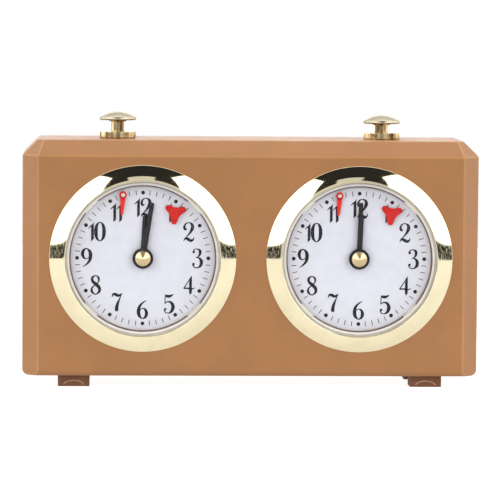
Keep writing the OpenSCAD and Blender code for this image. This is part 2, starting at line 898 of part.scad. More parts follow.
module barrel(side) {
    hole = winding_r + seat_gap;
    color("#BF9A46")
        clock(side)
            at_arbor(barrel_at) {
                gear(barrel_teeth, barrel_size, barrel_wheel_at, hole * 1.06, barrel_angle + 180);
                turned([[hole, barrel_wheel_at[1]], [drum_r, barrel_wheel_at[1]], [drum_r, drum_back],
                    [drum_r - drum_wall, drum_back], [drum_r - drum_wall, barrel_wheel_at[1] + drum_cover_t],
                    [hole, barrel_wheel_at[1] + drum_cover_t]]);
                turned([[hole, drum_back], [drum_r, drum_back], [drum_r, drum_back + drum_cover_t],
                    [hole, drum_back + drum_cover_t]]);
            }
}

module mainspring(side) {
    color("#5E6670")
        clock(side)
            at_arbor(barrel_at)
                slab([barrel_wheel_at[1] + drum_cover_t + free_gap, drum_back - free_gap])
                    polygon(spiral(mainspring_r[0], mainspring_r[1], 7, 0.45));
}

module winding_arbor(side) {
    inner = [barrel_wheel_at[1] + drum_cover_t + free_gap, drum_back - free_gap];
    color("#A9ABAC")
        clock(side)
            at_arbor(barrel_at) {
                turned([
                    [0, plate_front + 0.2], [winding_pivot_r, plate_front + 0.2],
                    [winding_pivot_r, bay_front + free_gap], [winding_r, bay_front + free_gap],
                    [winding_r, inner[0]], [core_r, inner[0]], [core_r, inner[1]], [winding_r, inner[1]],
                    [winding_r, handle_front + 0.6], [0, handle_front + 0.6]
                ]);
                slab([handle_front + 0.6, handle_front + 4])
                    square(2, center = true);
                slab(ratchet_at)
                    difference() {
                        polygon(saw_outline(ratchet_teeth, ratchet_r, 0.8));
                        circle(winding_r * 1.05, $fn = 12);
                    }
            }
}

module winding_key(side) {
    hub_r = 3.1;
    wing_t = 1.8;
    wing_x = hub_r + key_wing_r - 1.2;
    wing_y = handle_back - key_wing_r;
    color("#C9A050")
        clock(side)
            at_arbor(barrel_at)
                difference() {
                    union() {
                        turned([[0, handle_front], [hub_r, handle_front], [hub_r, handle_back - 3],
                            [hub_r - 1, handle_back - 2], [0, handle_back - 2]]);
                        translate([0, 0, -wing_t / 2])
                            linear_extrude(wing_t)
                                difference() {
                                    union() {
                                        for (s = [-1, 1])
                                            translate([s * wing_x, wing_y])
                                                circle(key_wing_r);
                                        translate([-wing_x, wing_y - 1.5])
                                            square([2 * wing_x, 3]);
                                    }
                                    for (s = [-1, 1])
                                        translate([s * wing_x, wing_y])
                                            circle(key_wing_r - 2.4);
                                }
                    }
                    slab([handle_front + 0.5, handle_front + 4.2])
                        square(2.2, center = true);
                    slab([handle_front - through, handle_front + 0.75])
                        circle(winding_r + seat_gap);
                }
}

// Pawl that drops between the ratchet's teeth
module click(side) {
    reach = barrel_at - click_post_at;
    along = reach / norm(reach);
    across = [-along[1], along[0]];
    tip = along * (norm(reach) - ratchet_r - free_gap) + across * 1.6;
    color("#A9ABAC")
        clock(side)
            at_arbor(click_post_at)
                slab(ratchet_at)
                    difference() {
                        union() {
                            circle(1.8);
                            bar([0, 0], tip, 1.5);
                            bar([0, 0], across * -5, 1.2);
                        }
                        circle(click_post_r + running_gap);
                    }
}

// Going train

module third_wheel(side) {
    color("#C8A24A")
        clock(side) {
            arbor(third_at);
            at_arbor(third_at) {
                pinion(third_pinion, train_size, third_pinion_at, 0.65, third_angle);
                gear(third_teeth, train_size, third_wheel_at, 0.65, fourth_angle);
            }
        }
}

module fourth_wheel(side) {
    color("#C8A24A")
        clock(side) {
            arbor(fourth_at);
            at_arbor(fourth_at) {
                pinion(fourth_pinion, train_size, fourth_pinion_at, 0.65, fourth_angle);
                gear(fourth_teeth, train_size, fourth_wheel_at, 0.65, escape_angle);
            }
        }
}

module escape_wheel(side) {
    color("#C8A24A")
        clock(side) {
            arbor(escape_at);
            pin(escape_at, pivot_r, star_front + 0.1, plate_front + 0.2);
            at_arbor(escape_at) {
                pinion(escape_pinion, train_size, escape_pinion_at, 0.65, escape_angle);
                slab(escape_wheel_at)
                    difference() {
                        polygon(saw_outline(escape_teeth, escape_r, 1.4));
                        circle(0.65, $fn = 12);
                        wheel_openings(escape_r - 0.8);
                    }
            }
        }
}

module pallet_lever(side) {
    pin_angles = [pallet_angle - 30, pallet_angle + 30];
    pins = [for (a = pin_angles) escape_at + polar(escape_r + 0.85, a) - pallet_at];
    fork = polar(1, balance_angle);
    side_way = polar(0.6, balance_angle + 90);
    color("#A9ABAC")
        clock(side) {
            arbor(pallet_at);
            at_arbor(pallet_at) {
                slab(lever_at)
                    difference() {
                        union() {
                            circle(1.3);
                            for (p = pins)
                                bar([0, 0], p * 1.08, 0.9);
                            bar([0, 0], fork * 7.1, 0.9);
                            bar(fork * 6.9 - side_way * 1.4, fork * 6.9 + side_way * 1.4, 0.5);
                            for (s = [-1, 1])
                                bar(fork * 6.9 + side_way * s, fork * 8.3 + side_way * s, 0.5);
                        }
                        circle(0.65, $fn = 12);
                    }
                for (p = pins)
                    pin(p, 0.25, escape_wheel_at[0] - 0.1, lever_at[0]);
            }
        }
}

module balance_wheel(side) {
    color("#D2AA55")
        clock(side) {
            at_arbor(balance_at)
                turned([
                    [0, plate_front + 0.2], [pivot_r, plate_front + 0.2], [pivot_r, bay_front + free_gap],
                    [arbor_r, bay_front + free_gap], [arbor_r, plate_back - free_gap],
                    [pivot_r, plate_back - free_gap], [pivot_r, regulator_at[1]], [0, regulator_at[1]]
                ]);
            at_arbor(balance_at) {
                slab(balance_rim_at) {
                    difference() {
                        circle(balance_r);
                        circle(balance_r - 1);
                    }
                    difference() {
                        union() {
                            circle(1.7);
                            translate([-balance_r + 0.5, -0.7])
                                square([2 * balance_r - 1, 1.4]);
                        }
                        circle(arbor_r + running_gap);
                    }
                }
                slab(roller_at)
                    difference() {
                        circle(2.9);
                        circle(arbor_r + running_gap);
                    }
                pin(polar(2.4, balance_angle + 180), 0.25, lever_at[0] - 0.1, roller_at[0]);
                // collet of the hairspring
                slab([hairspring_at[0] - 0.2, hairspring_at[1] + 0.2])
                    difference() {
                        circle(1.5);
                        circle(arbor_r + running_gap);
                    }
            }
        }
}

module hairspring(side) {
    color("#4E5A72")
        clock(side)
            at_arbor(balance_at)
                slab(hairspring_at)
                    polygon(spiral(hairspring_r[0], hairspring_r[1], 5, 0.15));
}

module regulator(side) {
    color("#A9ABAC")
        clock(side)
            at_arbor(balance_at) {
                slab(regulator_at)
                    difference() {
                        union() {
                            circle(regulator_boss_r + 1.3);
                            bar([0, 0], [0, regulator_arm + 1.4], 2.2);
                        }
                        circle(regulator_boss_r + running_gap);
                    }
                pin([0, regulator_arm], regulator_pin_r, regulator_at[1], case_d + 2);
            }
}

module setting_knob(side) {
    ridges = 24;
    color("#C9A050")
        clock(side)
            difference() {
                union() {
                    slab([handle_front + 1.2, handle_back - 3])
                        polygon([for (i = [0:ridges - 1], p = [[0, 0.1], [-0.3, 0.35], [-0.3, 0.75], [0, 1]])
                            polar(knob_r + p[0], 360 / ridges * (i + p[1]))]);
                    turned([[0, handle_front], [shaft_r + 1.6, handle_front],
                        [shaft_r + 1.6, handle_front + 1.5], [0, handle_front + 1.5]]);
                }
                slab([handle_front - through, handle_back - 3.9])
                    circle(shaft_r + running_gap);
            }
}

case();
back_cover();
cover_screws();
feet();
front_plates();
back_plates();
pillars();
rocker();
rocker_pivot();
button(-1);  // button_left
button(1);  // button_right
button_bushes();
bezel(-1);  // bezel_left
bezel(1);  // bezel_right
lens(-1);  // lens_left
lens(1);  // lens_right
dial(-1);  // dial_left
dial(1);  // dial_right
hour_hand(-1);  // hour_hand_left
hour_hand(1);  // hour_hand_right
minute_hand(-1);  // minute_hand_left
minute_hand(1);  // minute_hand_right
hand_cap(-1);  // hand_cap_left
hand_cap(1);  // hand_cap_right
flag(-1);  // flag_left
flag(1);  // flag_right
indicator(-1);  // indicator_left
indicator(1);  // indicator_right
centre_wheel(-1);  // centre_wheel_left
centre_wheel(1);  // centre_wheel_right
minute_wheel(-1);  // minute_wheel_left
minute_wheel(1);  // minute_wheel_right
hour_wheel(-1);  // hour_wheel_left
hour_wheel(1);  // hour_wheel_right
barrel(-1);  // barrel_left
barrel(1);  // barrel_right
mainspring(-1);  // mainspring_left
mainspring(1);  // mainspring_right
winding_arbor(-1);  // winding_arbor_left
winding_arbor(1);  // winding_arbor_right
winding_key(-1);  // winding_key_left
winding_key(1);  // winding_key_right
click(-1);  // click_left
click(1);  // click_right
third_wheel(-1);  // third_wheel_left
third_wheel(1);  // third_wheel_right
fourth_wheel(-1);  // fourth_wheel_left
fourth_wheel(1);  // fourth_wheel_right
escape_wheel(-1);  // escape_wheel_left
escape_wheel(1);  // escape_wheel_right
pallet_lever(-1);  // pallet_lever_left
pallet_lever(1);  // pallet_lever_right
balance_wheel(-1);  // balance_wheel_left
balance_wheel(1);  // balance_wheel_right
hairspring(-1);  // hairspring_left
hairspring(1);  // hairspring_right
regulator(-1);  // regulator_left
regulator(1);  // regulator_right
setting_knob(-1);  // setting_knob_left
setting_knob(1);  // setting_knob_right
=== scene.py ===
"""Looks of a mechanical chess clock: moulded case, gilt bezels, domed lenses, dials and push buttons."""

import json
import math

import bmesh
import bpy
from mathutils import Matrix, Vector


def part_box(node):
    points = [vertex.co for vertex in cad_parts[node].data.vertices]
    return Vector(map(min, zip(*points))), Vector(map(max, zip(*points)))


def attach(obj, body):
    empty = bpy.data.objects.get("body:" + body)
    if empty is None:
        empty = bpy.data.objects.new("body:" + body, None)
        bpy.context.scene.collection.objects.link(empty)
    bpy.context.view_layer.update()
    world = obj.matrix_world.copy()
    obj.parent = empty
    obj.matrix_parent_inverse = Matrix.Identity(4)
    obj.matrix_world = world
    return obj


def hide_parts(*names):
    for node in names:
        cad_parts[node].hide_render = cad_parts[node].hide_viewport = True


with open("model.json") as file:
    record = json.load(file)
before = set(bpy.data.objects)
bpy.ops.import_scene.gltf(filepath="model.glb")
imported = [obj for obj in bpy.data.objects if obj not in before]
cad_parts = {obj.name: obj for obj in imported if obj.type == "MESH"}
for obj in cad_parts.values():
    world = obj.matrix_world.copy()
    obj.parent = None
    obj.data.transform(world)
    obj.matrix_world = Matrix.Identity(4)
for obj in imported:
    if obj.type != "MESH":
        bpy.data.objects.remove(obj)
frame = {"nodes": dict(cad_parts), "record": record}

MM = 0.001
SIDES = ("left", "right")
scene = bpy.context.scene
scene.view_settings.view_transform = "Standard"
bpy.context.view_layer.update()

case_low, case_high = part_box("case")
FRONT = case_low.y
TOP = case_high.z
BODY_OF = {n: body for body, nodes in frame["record"]["behaviour"]["bodies"].items() for n in nodes}


# ---- camera, studio and floor

def place_camera():
    """A long lens, a little left of the middle and above it, turned slightly about its own axis."""
    distance = 1.406
    roll = math.radians(0.42)
    aim = Vector((-0.0006, FRONT, 0.0576))
    data = bpy.data.cameras.new("camera")
    data.lens = 245
    data.sensor_width = 36
    data.clip_start = 0.05
    camera = bpy.data.objects.new("camera", data)
    camera.location = aim + Vector((-0.062, -distance, 0.1045))
    turn = (aim - camera.location).to_track_quat("-Z", "Y").to_matrix().to_4x4()
    camera.matrix_world = Matrix.Translation(camera.location) @ turn @ Matrix.Rotation(roll, 4, "Z")
    scene.collection.objects.link(camera)
    scene.camera = camera


class Nodes:
    """A node tree with short calls for arithmetic, for textures and for joining sockets."""

    def __init__(self, tree):
        self.tree = tree

    def add(self, kind, inputs=None, **settings):
        node = self.tree.nodes.new(kind)
        for name, value in settings.items():
            setattr(node, name, value)
        for socket, value in (inputs or {}).items():
            self.feed(node.inputs[socket], value)
        return node

    def get(self, kind, inputs=None, **settings):
        return self.add(kind, inputs, **settings).outputs[0]

    def feed(self, socket, value):
        if isinstance(value, bpy.types.NodeSocket):
            self.tree.links.new(value, socket)
        else:
            socket.default_value = value

    def math(self, operation, a, b=0.0):
        return self.get("ShaderNodeMath", {0: a, 1: b}, operation=operation)

    def step(self, value, low, high):
        """0 below low, 1 above high, and smooth between them."""
        return self.get("ShaderNodeMapRange", {0: value, 1: low, 2: high}, interpolation_type="SMOOTHSTEP")

    def product(self, first, *others):
        for other in others:
            first = self.math("MULTIPLY", first, other)
        return first

    def inverse(self, share):
        return self.math("SUBTRACT", 1.0, share)

    def band(self, value, low, high, soft):
        """1 between low and high, 0 outside them, with soft ends."""
        rise = self.step(value, low - soft, low + soft)
        fall = self.step(value, high - soft, high + soft)
        return self.product(rise, self.inverse(fall))


def build_studio():
    """Two bright panels above the camera, a dark gap between them, and a pale room with a girdle."""
    room, girdle, panel, dark, ahead, behind = 0.72, 1.9, 2.7, 0.025, 0.3, 1.8
    world = bpy.data.worlds.new("studio")
    world.use_nodes = True
    scene.world = world
    n = Nodes(world.node_tree)
    world.node_tree.nodes.clear()

    def past(angle, low, high):
        return n.step(angle, math.radians(low), math.radians(high))

    def between(angle, low, high, soft):
        return n.band(angle, math.radians(low), math.radians(high), math.radians(soft))

    direction = n.add("ShaderNodeTexCoord").outputs["Generated"]
    axes = n.add("ShaderNodeSeparateXYZ", {0: direction}).outputs
    # away is counted from straight in front of the object, around from straight up to either side
    away = n.math("ARCCOSINE", n.math("MULTIPLY", axes[1], -1.0))
    around = n.math("ARCTAN2", n.math("ABSOLUTE", axes[0]), axes[2])
    # the gap is narrowest at its waist and flares from there, slower outwards than inwards
    waist, half_gap, flare_out, flare_in = math.radians(43), math.radians(22.4), 0.295, -0.63
    past_waist = n.math("SUBTRACT", away, waist)
    flare = n.math("MAXIMUM", n.product(past_waist, flare_out), n.product(past_waist, flare_in))
    past_edge = past(n.math("SUBTRACT", around, n.math("ADD", flare, half_gap)), -0.5, 0.5)
    panels = n.product(past_edge, n.inverse(past(around, 85, 87)), between(away, 18, 80, 2))
    shelf = n.product(between(around, -20, 11, 0.7), between(away, 10, 33, 0.6))
    gap = n.product(n.inverse(past_edge), between(away, 24, 76, 1), n.inverse(shelf))
    speckle = n.get("ShaderNodeTexNoise", {"Vector": direction, "Scale": 34.0, "Detail": 4.0})
    side = n.product(between(around, 86.5, 98.5, 1), between(away, 24, 76, 1), n.step(speckle, 0.36, 0.5))
    level = room
    for where, light in ((between(away, 80, 125, 4), girdle), (n.inverse(past(away, 12, 19)), ahead),
                         (past(away, 135, 155), behind)):
        level = n.math("ADD", level, n.product(where, light - room))
    level = n.math("MAXIMUM", level, n.product(panels, panel))
    shade = n.math("MAXIMUM", gap, side)
    level = n.math("ADD", n.product(level, n.inverse(shade)), n.product(shade, dark))
    seen = n.add("ShaderNodeLightPath").outputs["Is Camera Ray"]
    strength = n.math("MAXIMUM", seen, n.product(level, n.inverse(seen)))
    background = n.get("ShaderNodeBackground", {"Color": (1, 1, 1, 1), "Strength": strength})
    n.add("ShaderNodeOutputWorld", {0: background})


def lay_floor():
    """A plain white table, wider than any view of the object's feet."""
    reach = 0.8
    mesh = bmesh.new()
    bmesh.ops.create_circle(mesh, cap_ends=True, segments=96, radius=reach)
    floor = made_of("floor", mesh)
    floor.data.materials.append(floor_finish())


def made_of(name, mesh):
    """A new object with the worked mesh, which is used up."""
    data = bpy.data.meshes.new(name)
    mesh.to_mesh(data)
    mesh.free()
    made = bpy.data.objects.new(name, data)
    scene.collection.objects.link(made)
    return made


def floor_finish():
    glow, more_to_the_eye = 0.63, 0.3
    made, n, shader = principled("floor_white", (140, 140, 140), Roughness=0.9, Specular_IOR_Level=0.1)
    shader.inputs["Emission Color"].default_value = (1, 1, 1, 1)
    seen = n.add("ShaderNodeLightPath").outputs["Is Camera Ray"]
    n.feed(shader.inputs["Emission Strength"], n.math("ADD", n.product(seen, more_to_the_eye), glow))
    mottle(n, shader, (138, 138, 138), (142, 142, 142), 6)
    return made


# ---- finishes

def paint(red, green, blue):
    """A colour from its display values, as a shader wants it."""
    def linear(c):
        return c / 12.92 if c <= 0.04045 else ((c + 0.055) / 1.055) ** 2.4
    return (*(linear(v / 255) for v in (red, green, blue)), 1.0)


def principled(name, colour, **sockets):
    made = bpy.data.materials.new(name)
    made.use_nodes = True
    shader = made.node_tree.nodes["Principled BSDF"]
    shader.inputs["Base Color"].default_value = paint(*colour)
    for socket, value in sockets.items():
        shader.inputs[socket.replace("_", " ")].default_value = value
    return made, Nodes(made.node_tree), shader


def noise(n, scale, detail=3.0, stretch=(1, 1, 1)):
    """Noise on the piece's own coordinates; scale is in spots per metre."""
    where = n.add("ShaderNodeTexCoord").outputs["Object"]
    mapped = n.get("ShaderNodeMapping", {"Vector": where, "Scale": stretch})
    return n.get("ShaderNodeTexNoise", {"Vector": mapped, "Scale": scale, "Detail": detail})


def mottle(n, shader, dark, light, scale, **more):
    mix = n.add("ShaderNodeMix", {0: n.step(noise(n, scale, **more), 0.3, 0.7)}, data_type="RGBA")
    colour_a, colour_b, result = 6, 7, 2
    mix.inputs[colour_a].default_value = paint(*dark)
    mix.inputs[colour_b].default_value = paint(*light)
    n.feed(shader.inputs["Base Color"], mix.outputs[result])


def grain(n, shader, scale, depth, **more):
    """Fine surface relief, its depth in metres."""
    height = noise(n, scale, **more)
    bump = n.get("ShaderNodeBump", {"Strength": 1.0, "Distance": depth, "Height": height})
    n.feed(shader.inputs["Normal"], bump)


def uneven_gloss(n, shader, low, high, scale, **more):
    gloss = n.get("ShaderNodeMapRange", {0: noise(n, scale, **more), 1: 0.3, 2: 0.7, 3: low, 4: high})
    n.feed(shader.inputs["Roughness"], gloss)


def surface(name, dark, light, spots, relief, gloss, **sockets):
    """Mottled between two colours; relief is spots and depth, gloss is low, high and spots."""
    made, n, shader = principled(name, light, **sockets)
    mottle(n, shader, dark, light, spots)
    grain(n, shader, *relief)
    uneven_gloss(n, shader, *gloss)
    return made


def dimmed(colour, share):
    return [share * c for c in colour]


def moulded_plastic(name, dark, light, roughness=(0.36, 0.46)):
    return surface(name, dark, light, 55, (2600, 0.000012), (*roughness, 190), Specular_IOR_Level=0.5)


def gilt(name, colour, roughness, relief):
    """Bright plated metal with faint polishing marks."""
    return surface(name, dimmed(colour, 0.97), colour, 90, (1400, relief), (*roughness, 260), Metallic=1.0)


def steel(name, colour, roughness=(0.2, 0.34)):
    relief = (1100, 0.000006)
    return surface(name, dimmed(colour, 0.88), colour, 150, relief, (*roughness, 240), Metallic=1.0)


def enamel(name, dark, light, roughness, gloss=0.5):
    """Paint or print on metal or card."""
    return surface(name, dark, light, 240, (3000, 0.000004), (*roughness, 350), Specular_IOR_Level=gloss)


# A matte moulded surface; on the feet its darker browns are painted shade under the case's overhang.
def rubber(name, dark, light):
    return surface(name, dark, light, 160, (1900, 0.00003), (0.55, 0.72, 220), Specular_IOR_Level=0.3)


def brushed_brass(name, colour):
    made, n, shader = principled(name, colour, Metallic=1.0)
    mottle(n, shader, dimmed(colour, 0.9), colour, 120)
    grain(n, shader, 900, 0.00001, stretch=(1, 1, 6))
    uneven_gloss(n, shader, 0.24, 0.36, 300)
    return made


def turned_brass(name, dark, light):
    """Lathe-turned brass with dark and light streaks along its axis: painted reflections of the room on a
    round stem.
    """
    made, n, shader = principled(name, light, Metallic=1.0)
    mottle(n, shader, dark, light, 270, detail=1.0, stretch=(1, 1, 0.05))
    grain(n, shader, 1400, 0.000003)
    uneven_gloss(n, shader, 0.16, 0.26, 260)
    return made

def clear_glass(name):
    made, n, shader = principled(name, (250, 251, 252), Roughness=0, IOR=1.1, Transmission_Weight=1)
    let_light_pass(made, n, shader)
    return made


def let_light_pass(made, n, shader):
    """The clear plastic casts no shadow on what it covers."""
    path = n.add("ShaderNodeLightPath")
    through = n.math("MAXIMUM", path.outputs["Is Shadow Ray"], path.outputs["Is Diffuse Ray"])
    clear = n.get("ShaderNodeBsdfTransparent")
    mix = n.get("ShaderNodeMixShader", {0: through, 1: shader.outputs[0], 2: clear})
    n.feed(made.node_tree.nodes["Material Output"].inputs[0], mix)


def frosted_rim(name, dark, light):
    made, n, shader = principled(name, light, Roughness=0.24, Specular_IOR_Level=0.5)
    mottle(n, shader, dark, light, 220)
    grain(n, shader, 2400, 0.000008)
    let_light_pass(made, n, shader)
    return made


def make_finishes():
    """Every finish by its name: its maker, its display colours from the darkest, and its roughness."""
    finishes = (
        ("case_plastic", moulded_plastic, (150, 102, 57), (156, 106, 61)),
        # the case's rounded outer edges: a lighter copy of the case plastic, a painted highlight along each
        # edge
        ("case_edge", moulded_plastic, (163, 115, 68), (170, 121, 73), (0.32, 0.42)),
        # the step round each window: the case plastic darkened, painted shade in the recess under the lens
        ("window_ledge", moulded_plastic, (106, 88, 75), (116, 96, 82), (0.5, 0.6)),
        ("cover_plastic", moulded_plastic, (141, 97, 53), (147, 101, 57), (0.44, 0.54)),
        # the feet: the case's brown darkened, painted shade under the case's overhang
        ("foot_rubber", rubber, (109, 71, 48), (119, 78, 54)),
        # the arch on each foot's front: a lighter brown, a painted highlight where the bead catches light
        ("foot_worn", rubber, (160, 122, 92), (170, 134, 104)),
        ("screw_steel", steel, (196, 196, 192)),
        ("post_nickel", steel, (238, 234, 222), (0.3, 0.4)),
        ("plate_brass", brushed_brass, (222, 188, 112)),
        ("button_brass", gilt, (184, 174, 150), (0.24, 0.34), 0.000003),
        # stems and bushes: brass whose dark and light streaks are painted reflections
        ("turned_brass", turned_brass, (130, 102, 68), (240, 219, 170)),
        ("cap_gold", gilt, (231, 205, 161), (0.28, 0.38), 0.000003),
        ("bezel_gold", gilt, (249, 237, 200), (0.03, 0.07), 0.0000012),
        ("lens_glass", clear_glass),
        ("lens_rim", frosted_rim, (218, 217, 221), (228, 227, 231)),
        ("lens_seat", frosted_rim, (182, 175, 165), (194, 187, 177)),
        ("dial_white", enamel, (209, 209, 218), (214, 214, 223), (0.42, 0.5)),
        ("dial_print", enamel, (24, 24, 29), (30, 30, 35), (0.4, 0.5), 0.25),
        ("hand_black", enamel, (28, 27, 30), (34, 33, 36), (0.28, 0.36), 0.3),
        ("signal_red", enamel, (218, 36, 24), (228, 42, 30), (0.36, 0.46), 0.28),
        ("indicator_red", enamel, (190, 24, 16), (200, 30, 20), (0.36, 0.46), 0.22),
        ("spring_steel", steel, (120, 130, 150)),
    )
    return {name: maker(name, *values) for name, maker, *values in finishes}


# finishes that have no slot of their own in the record, and the slot that each belongs to
SLOT_OF = {"dial_print": "hand_black", "cap_gold": "bezel_gold", "turned_brass": "button_brass",
           "post_nickel": "screw_steel", "indicator_red": "signal_red"}


# ---- shaping

ON_AXIS = 1e-9


def finished(name, mesh, material, node, edge=0.0, *, replacing=True, more=(), smooth=35, segments=2):
    """Turns worked geometry into a shown piece on its node's body, its edges broken by a small bevel."""
    bmesh.ops.remove_doubles(mesh, verts=mesh.verts, dist=1e-7)
    bmesh.ops.recalc_face_normals(mesh, faces=mesh.faces)
    made = made_of(name, mesh)
    for finish in (material, *more):
        made.data.materials.append(FINISHES[finish])
    for face in made.data.polygons:
        face.use_smooth = True
    made.data.set_sharp_from_angle(angle=math.radians(smooth))
    if edge:
        bevel = made.modifiers.new("edge", "BEVEL")
        bevel.width = edge
        bevel.segments = segments
        bevel.limit_method = "ANGLE"
        bevel.angle_limit = math.radians(smooth)
        bevel.use_clamp_overlap = True
    shading = made.modifiers.new("shading", "WEIGHTED_NORMAL")
    shading.keep_sharp = not edge
    settle(made)
    show(made, node, material, *((node,) if replacing else ()))
    return made


def settle(made):
    """Applies a piece's modifiers to its mesh."""
    graph = bpy.context.evaluated_depsgraph_get()
    data = bpy.data.meshes.new_from_object(made.evaluated_get(graph), depsgraph=graph)
    made.modifiers.clear()
    made.data = data
    data.name = made.name


def show(made, node, slot, *nodes):
    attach(made, BODY_OF[node])
    if nodes:
        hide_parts(*nodes)
    SLOT_OF.get(slot, slot)

def turned(mesh, outline, centre, steps=96, upright=False):
    """A round solid from radii and places along the axis, which runs back, or up if upright."""
    rings = []
    for r, along in outline:
        count = steps if r > ON_AXIS else 1
        ring = []
        for i in range(count):
            a = 2 * math.pi * i / count
            flat = Vector((r * math.sin(a), r * math.cos(a)))
            if upright:
                place = (centre[0] + flat.x, centre[1] + flat.y, along)
            else:
                place = (centre[0] + flat.x, along, centre[1] + flat.y)
            ring.append(mesh.verts.new(place))
        rings.append(ring)
    pairs = list(zip(rings, rings[1:]))
    if min(r for r, _ in outline) > ON_AXIS:
        pairs.append((rings[-1], rings[0]))
    for a, b in pairs:
        for i in range(steps):
            corners = [a[i % len(a)], a[(i + 1) % len(a)], b[(i + 1) % len(b)], b[i % len(b)]]
            corners = list(dict.fromkeys(corners))
            if len(corners) > 2:
                mesh.faces.new(corners)
    return mesh


def eased(outline, cut, steps=3, sharpest=12):
    """The outline with its corners rounded, except those on the axis and the nearly straight ones."""
    result = []
    for i, corner in enumerate(outline):
        here = Vector(corner)
        back = Vector(outline[i - 1]) - here
        ahead = Vector(outline[(i + 1) % len(outline)]) - here
        turn = math.degrees(math.pi - back.angle(ahead, math.pi)) if back.length and ahead.length else 0
        if here.x < ON_AXIS or turn < sharpest:
            result.append(here)
            continue
        reach = min(cut, 0.45 * back.length, 0.45 * ahead.length)
        start = here + back.normalized() * reach
        end = here + ahead.normalized() * reach
        for k in range(steps + 1):
            t = k / steps
            result.append((1 - t) ** 2 * start + 2 * t * (1 - t) * here + t ** 2 * end)
    return result


def scaled(points, along=0.0):
    """Millimetre points as metres, their second number counted from a place along the axis."""
    return [(r * MM, along + d * MM) for r, d in points]


def plate(mesh, outline, centre, front, back, turn=0.0):
    """A flat solid in the XZ plane; turn is clockwise in degrees as seen from the front."""
    a = math.radians(-turn)
    c, s = math.cos(a), math.sin(a)
    points = [(centre[0] + x * c - z * s, centre[1] + x * s + z * c) for x, z in outline]
    near = [mesh.verts.new((x, front, z)) for x, z in points]
    far = [mesh.verts.new((x, back, z)) for x, z in points]
    mesh.faces.new(near)
    mesh.faces.new(far[::-1])
    for i in range(len(points)):
        j = (i + 1) % len(points)
        mesh.faces.new((near[j], near[i], far[i], far[j]))
    return mesh


def block(mesh, low, high):
    made = bmesh.ops.create_cube(mesh, size=1.0)["verts"]
    low, high = Vector(low), Vector(high)
    for v in made:
        v.co = Vector((low[i] + (v.co[i] + 0.5) * (high[i] - low[i]) for i in range(3)))
    return made


def oblong(left, right, start, end):
    """Four corners, of a flat bar or of a plain ring that is turned."""
    return [(left, start), (right, start), (right, end), (left, end)]


def circle_of(low, high, upright=False):
    """The middle and the radius of a round piece that fills a box, seen from the front or from above."""
    across = 1 if upright else 2
    return Vector(((low.x + high.x) / 2, (low[across] + high[across]) / 2)), (high.x - low.x) / 2


def fitted(node):
    """A node's lowest and highest corner, and its middle and radius seen from the front."""
    low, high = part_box(node)
    return low, high, *circle_of(low, high)


def copy_of(node, weld):
    """A node's mesh, joined wherever corners lie closer together than the weld."""
    mesh = bmesh.new()
    mesh.from_mesh(frame["nodes"][node].data)
    bmesh.ops.remove_doubles(mesh, verts=mesh.verts, dist=weld)
    return mesh


def outer_faces(mesh):
    """For each face, whether the whole piece lies behind it."""
    slack = 0.03 * MM
    mesh.normal_update()
    mesh.faces.index_update()
    points = [v.co.copy() for v in mesh.verts]
    outer = {}
    for face in mesh.faces:
        level = face.normal.dot(face.verts[0].co)
        outer[face.index] = all(face.normal.dot(p) < level + slack for p in points)
    return outer


def carried_over(name, node, material, edge, more=()):
    """A copy of a node with its outer edges rounded; edges that face inwards stay as they are."""
    mesh = copy_of(node, weld=5e-6)
    flat, corner = math.radians(0.6), math.radians(18)
    bmesh.ops.dissolve_limit(mesh, angle_limit=flat, verts=mesh.verts, edges=mesh.edges, delimit=set())
    outer = outer_faces(mesh)
    edges = [e for e in mesh.edges if len(e.link_faces) == 2 and e.calc_face_angle() > corner
             and all(outer[f.index] for f in e.link_faces)]
    # the rounded faces take the first extra finish; on the case that is a lighter plastic, a painted edge
    # highlight
    bmesh.ops.bevel(mesh, geom=edges, offset=edge, offset_type="OFFSET", segments=3, profile=0.5,
                    affect="EDGES", clamp_overlap=True, material=1 if more else -1)
    # the window ledges take the darker plastic, which is painted shade
    if "window_ledge" in more:
        darken_ledges(mesh, more.index("window_ledge") + 1)
    return finished(name, mesh, material, node, more=more)


def darken_ledges(mesh, finish):
    """The step round each window, a little behind the case's front, gets a darker finish of its own: the
    case plastic darkened as painted shade in the recess under the lens edge.
    """
    ledge_r, least_depth = 33.6 * MM, 0.5 * MM
    windows = [fitted(f"dial_{side}")[2] for side in SIDES]
    for face in mesh.faces:
        inside = all(any((v.co.xz - w).length < ledge_r for w in windows) for v in face.verts)
        if inside and face.normal.y < -0.99 and face.verts[0].co.y > FRONT + least_depth:
            face.material_index = finish


# ---- case, cover, feet

def make_case():
    carried_over("case_shell", "case", "case_plastic", 0.55 * MM, ("case_edge", "window_ledge"))
    carried_over("rear_cover", "back_cover", "cover_plastic", 0.5 * MM)


def loose_parts(node):
    """The box of each separate solid of a node, as (low, high) corners."""
    mesh = copy_of(node, weld=2e-6)
    left, parts = set(mesh.verts), []
    while left:
        stack = [left.pop()]
        found = list(stack)
        while stack:
            for edge in stack.pop().link_edges:
                for v in edge.verts:
                    if v in left:
                        left.remove(v)
                        stack.append(v)
                        found.append(v)
        low = Vector((min(v.co[i] for v in found) for i in range(3)))
        high = Vector((max(v.co[i] for v in found) for i in range(3)))
        parts.append((low, high))
    mesh.free()
    return sorted(parts, key=lambda p: tuple(round(c, 4) for c in p[0]))


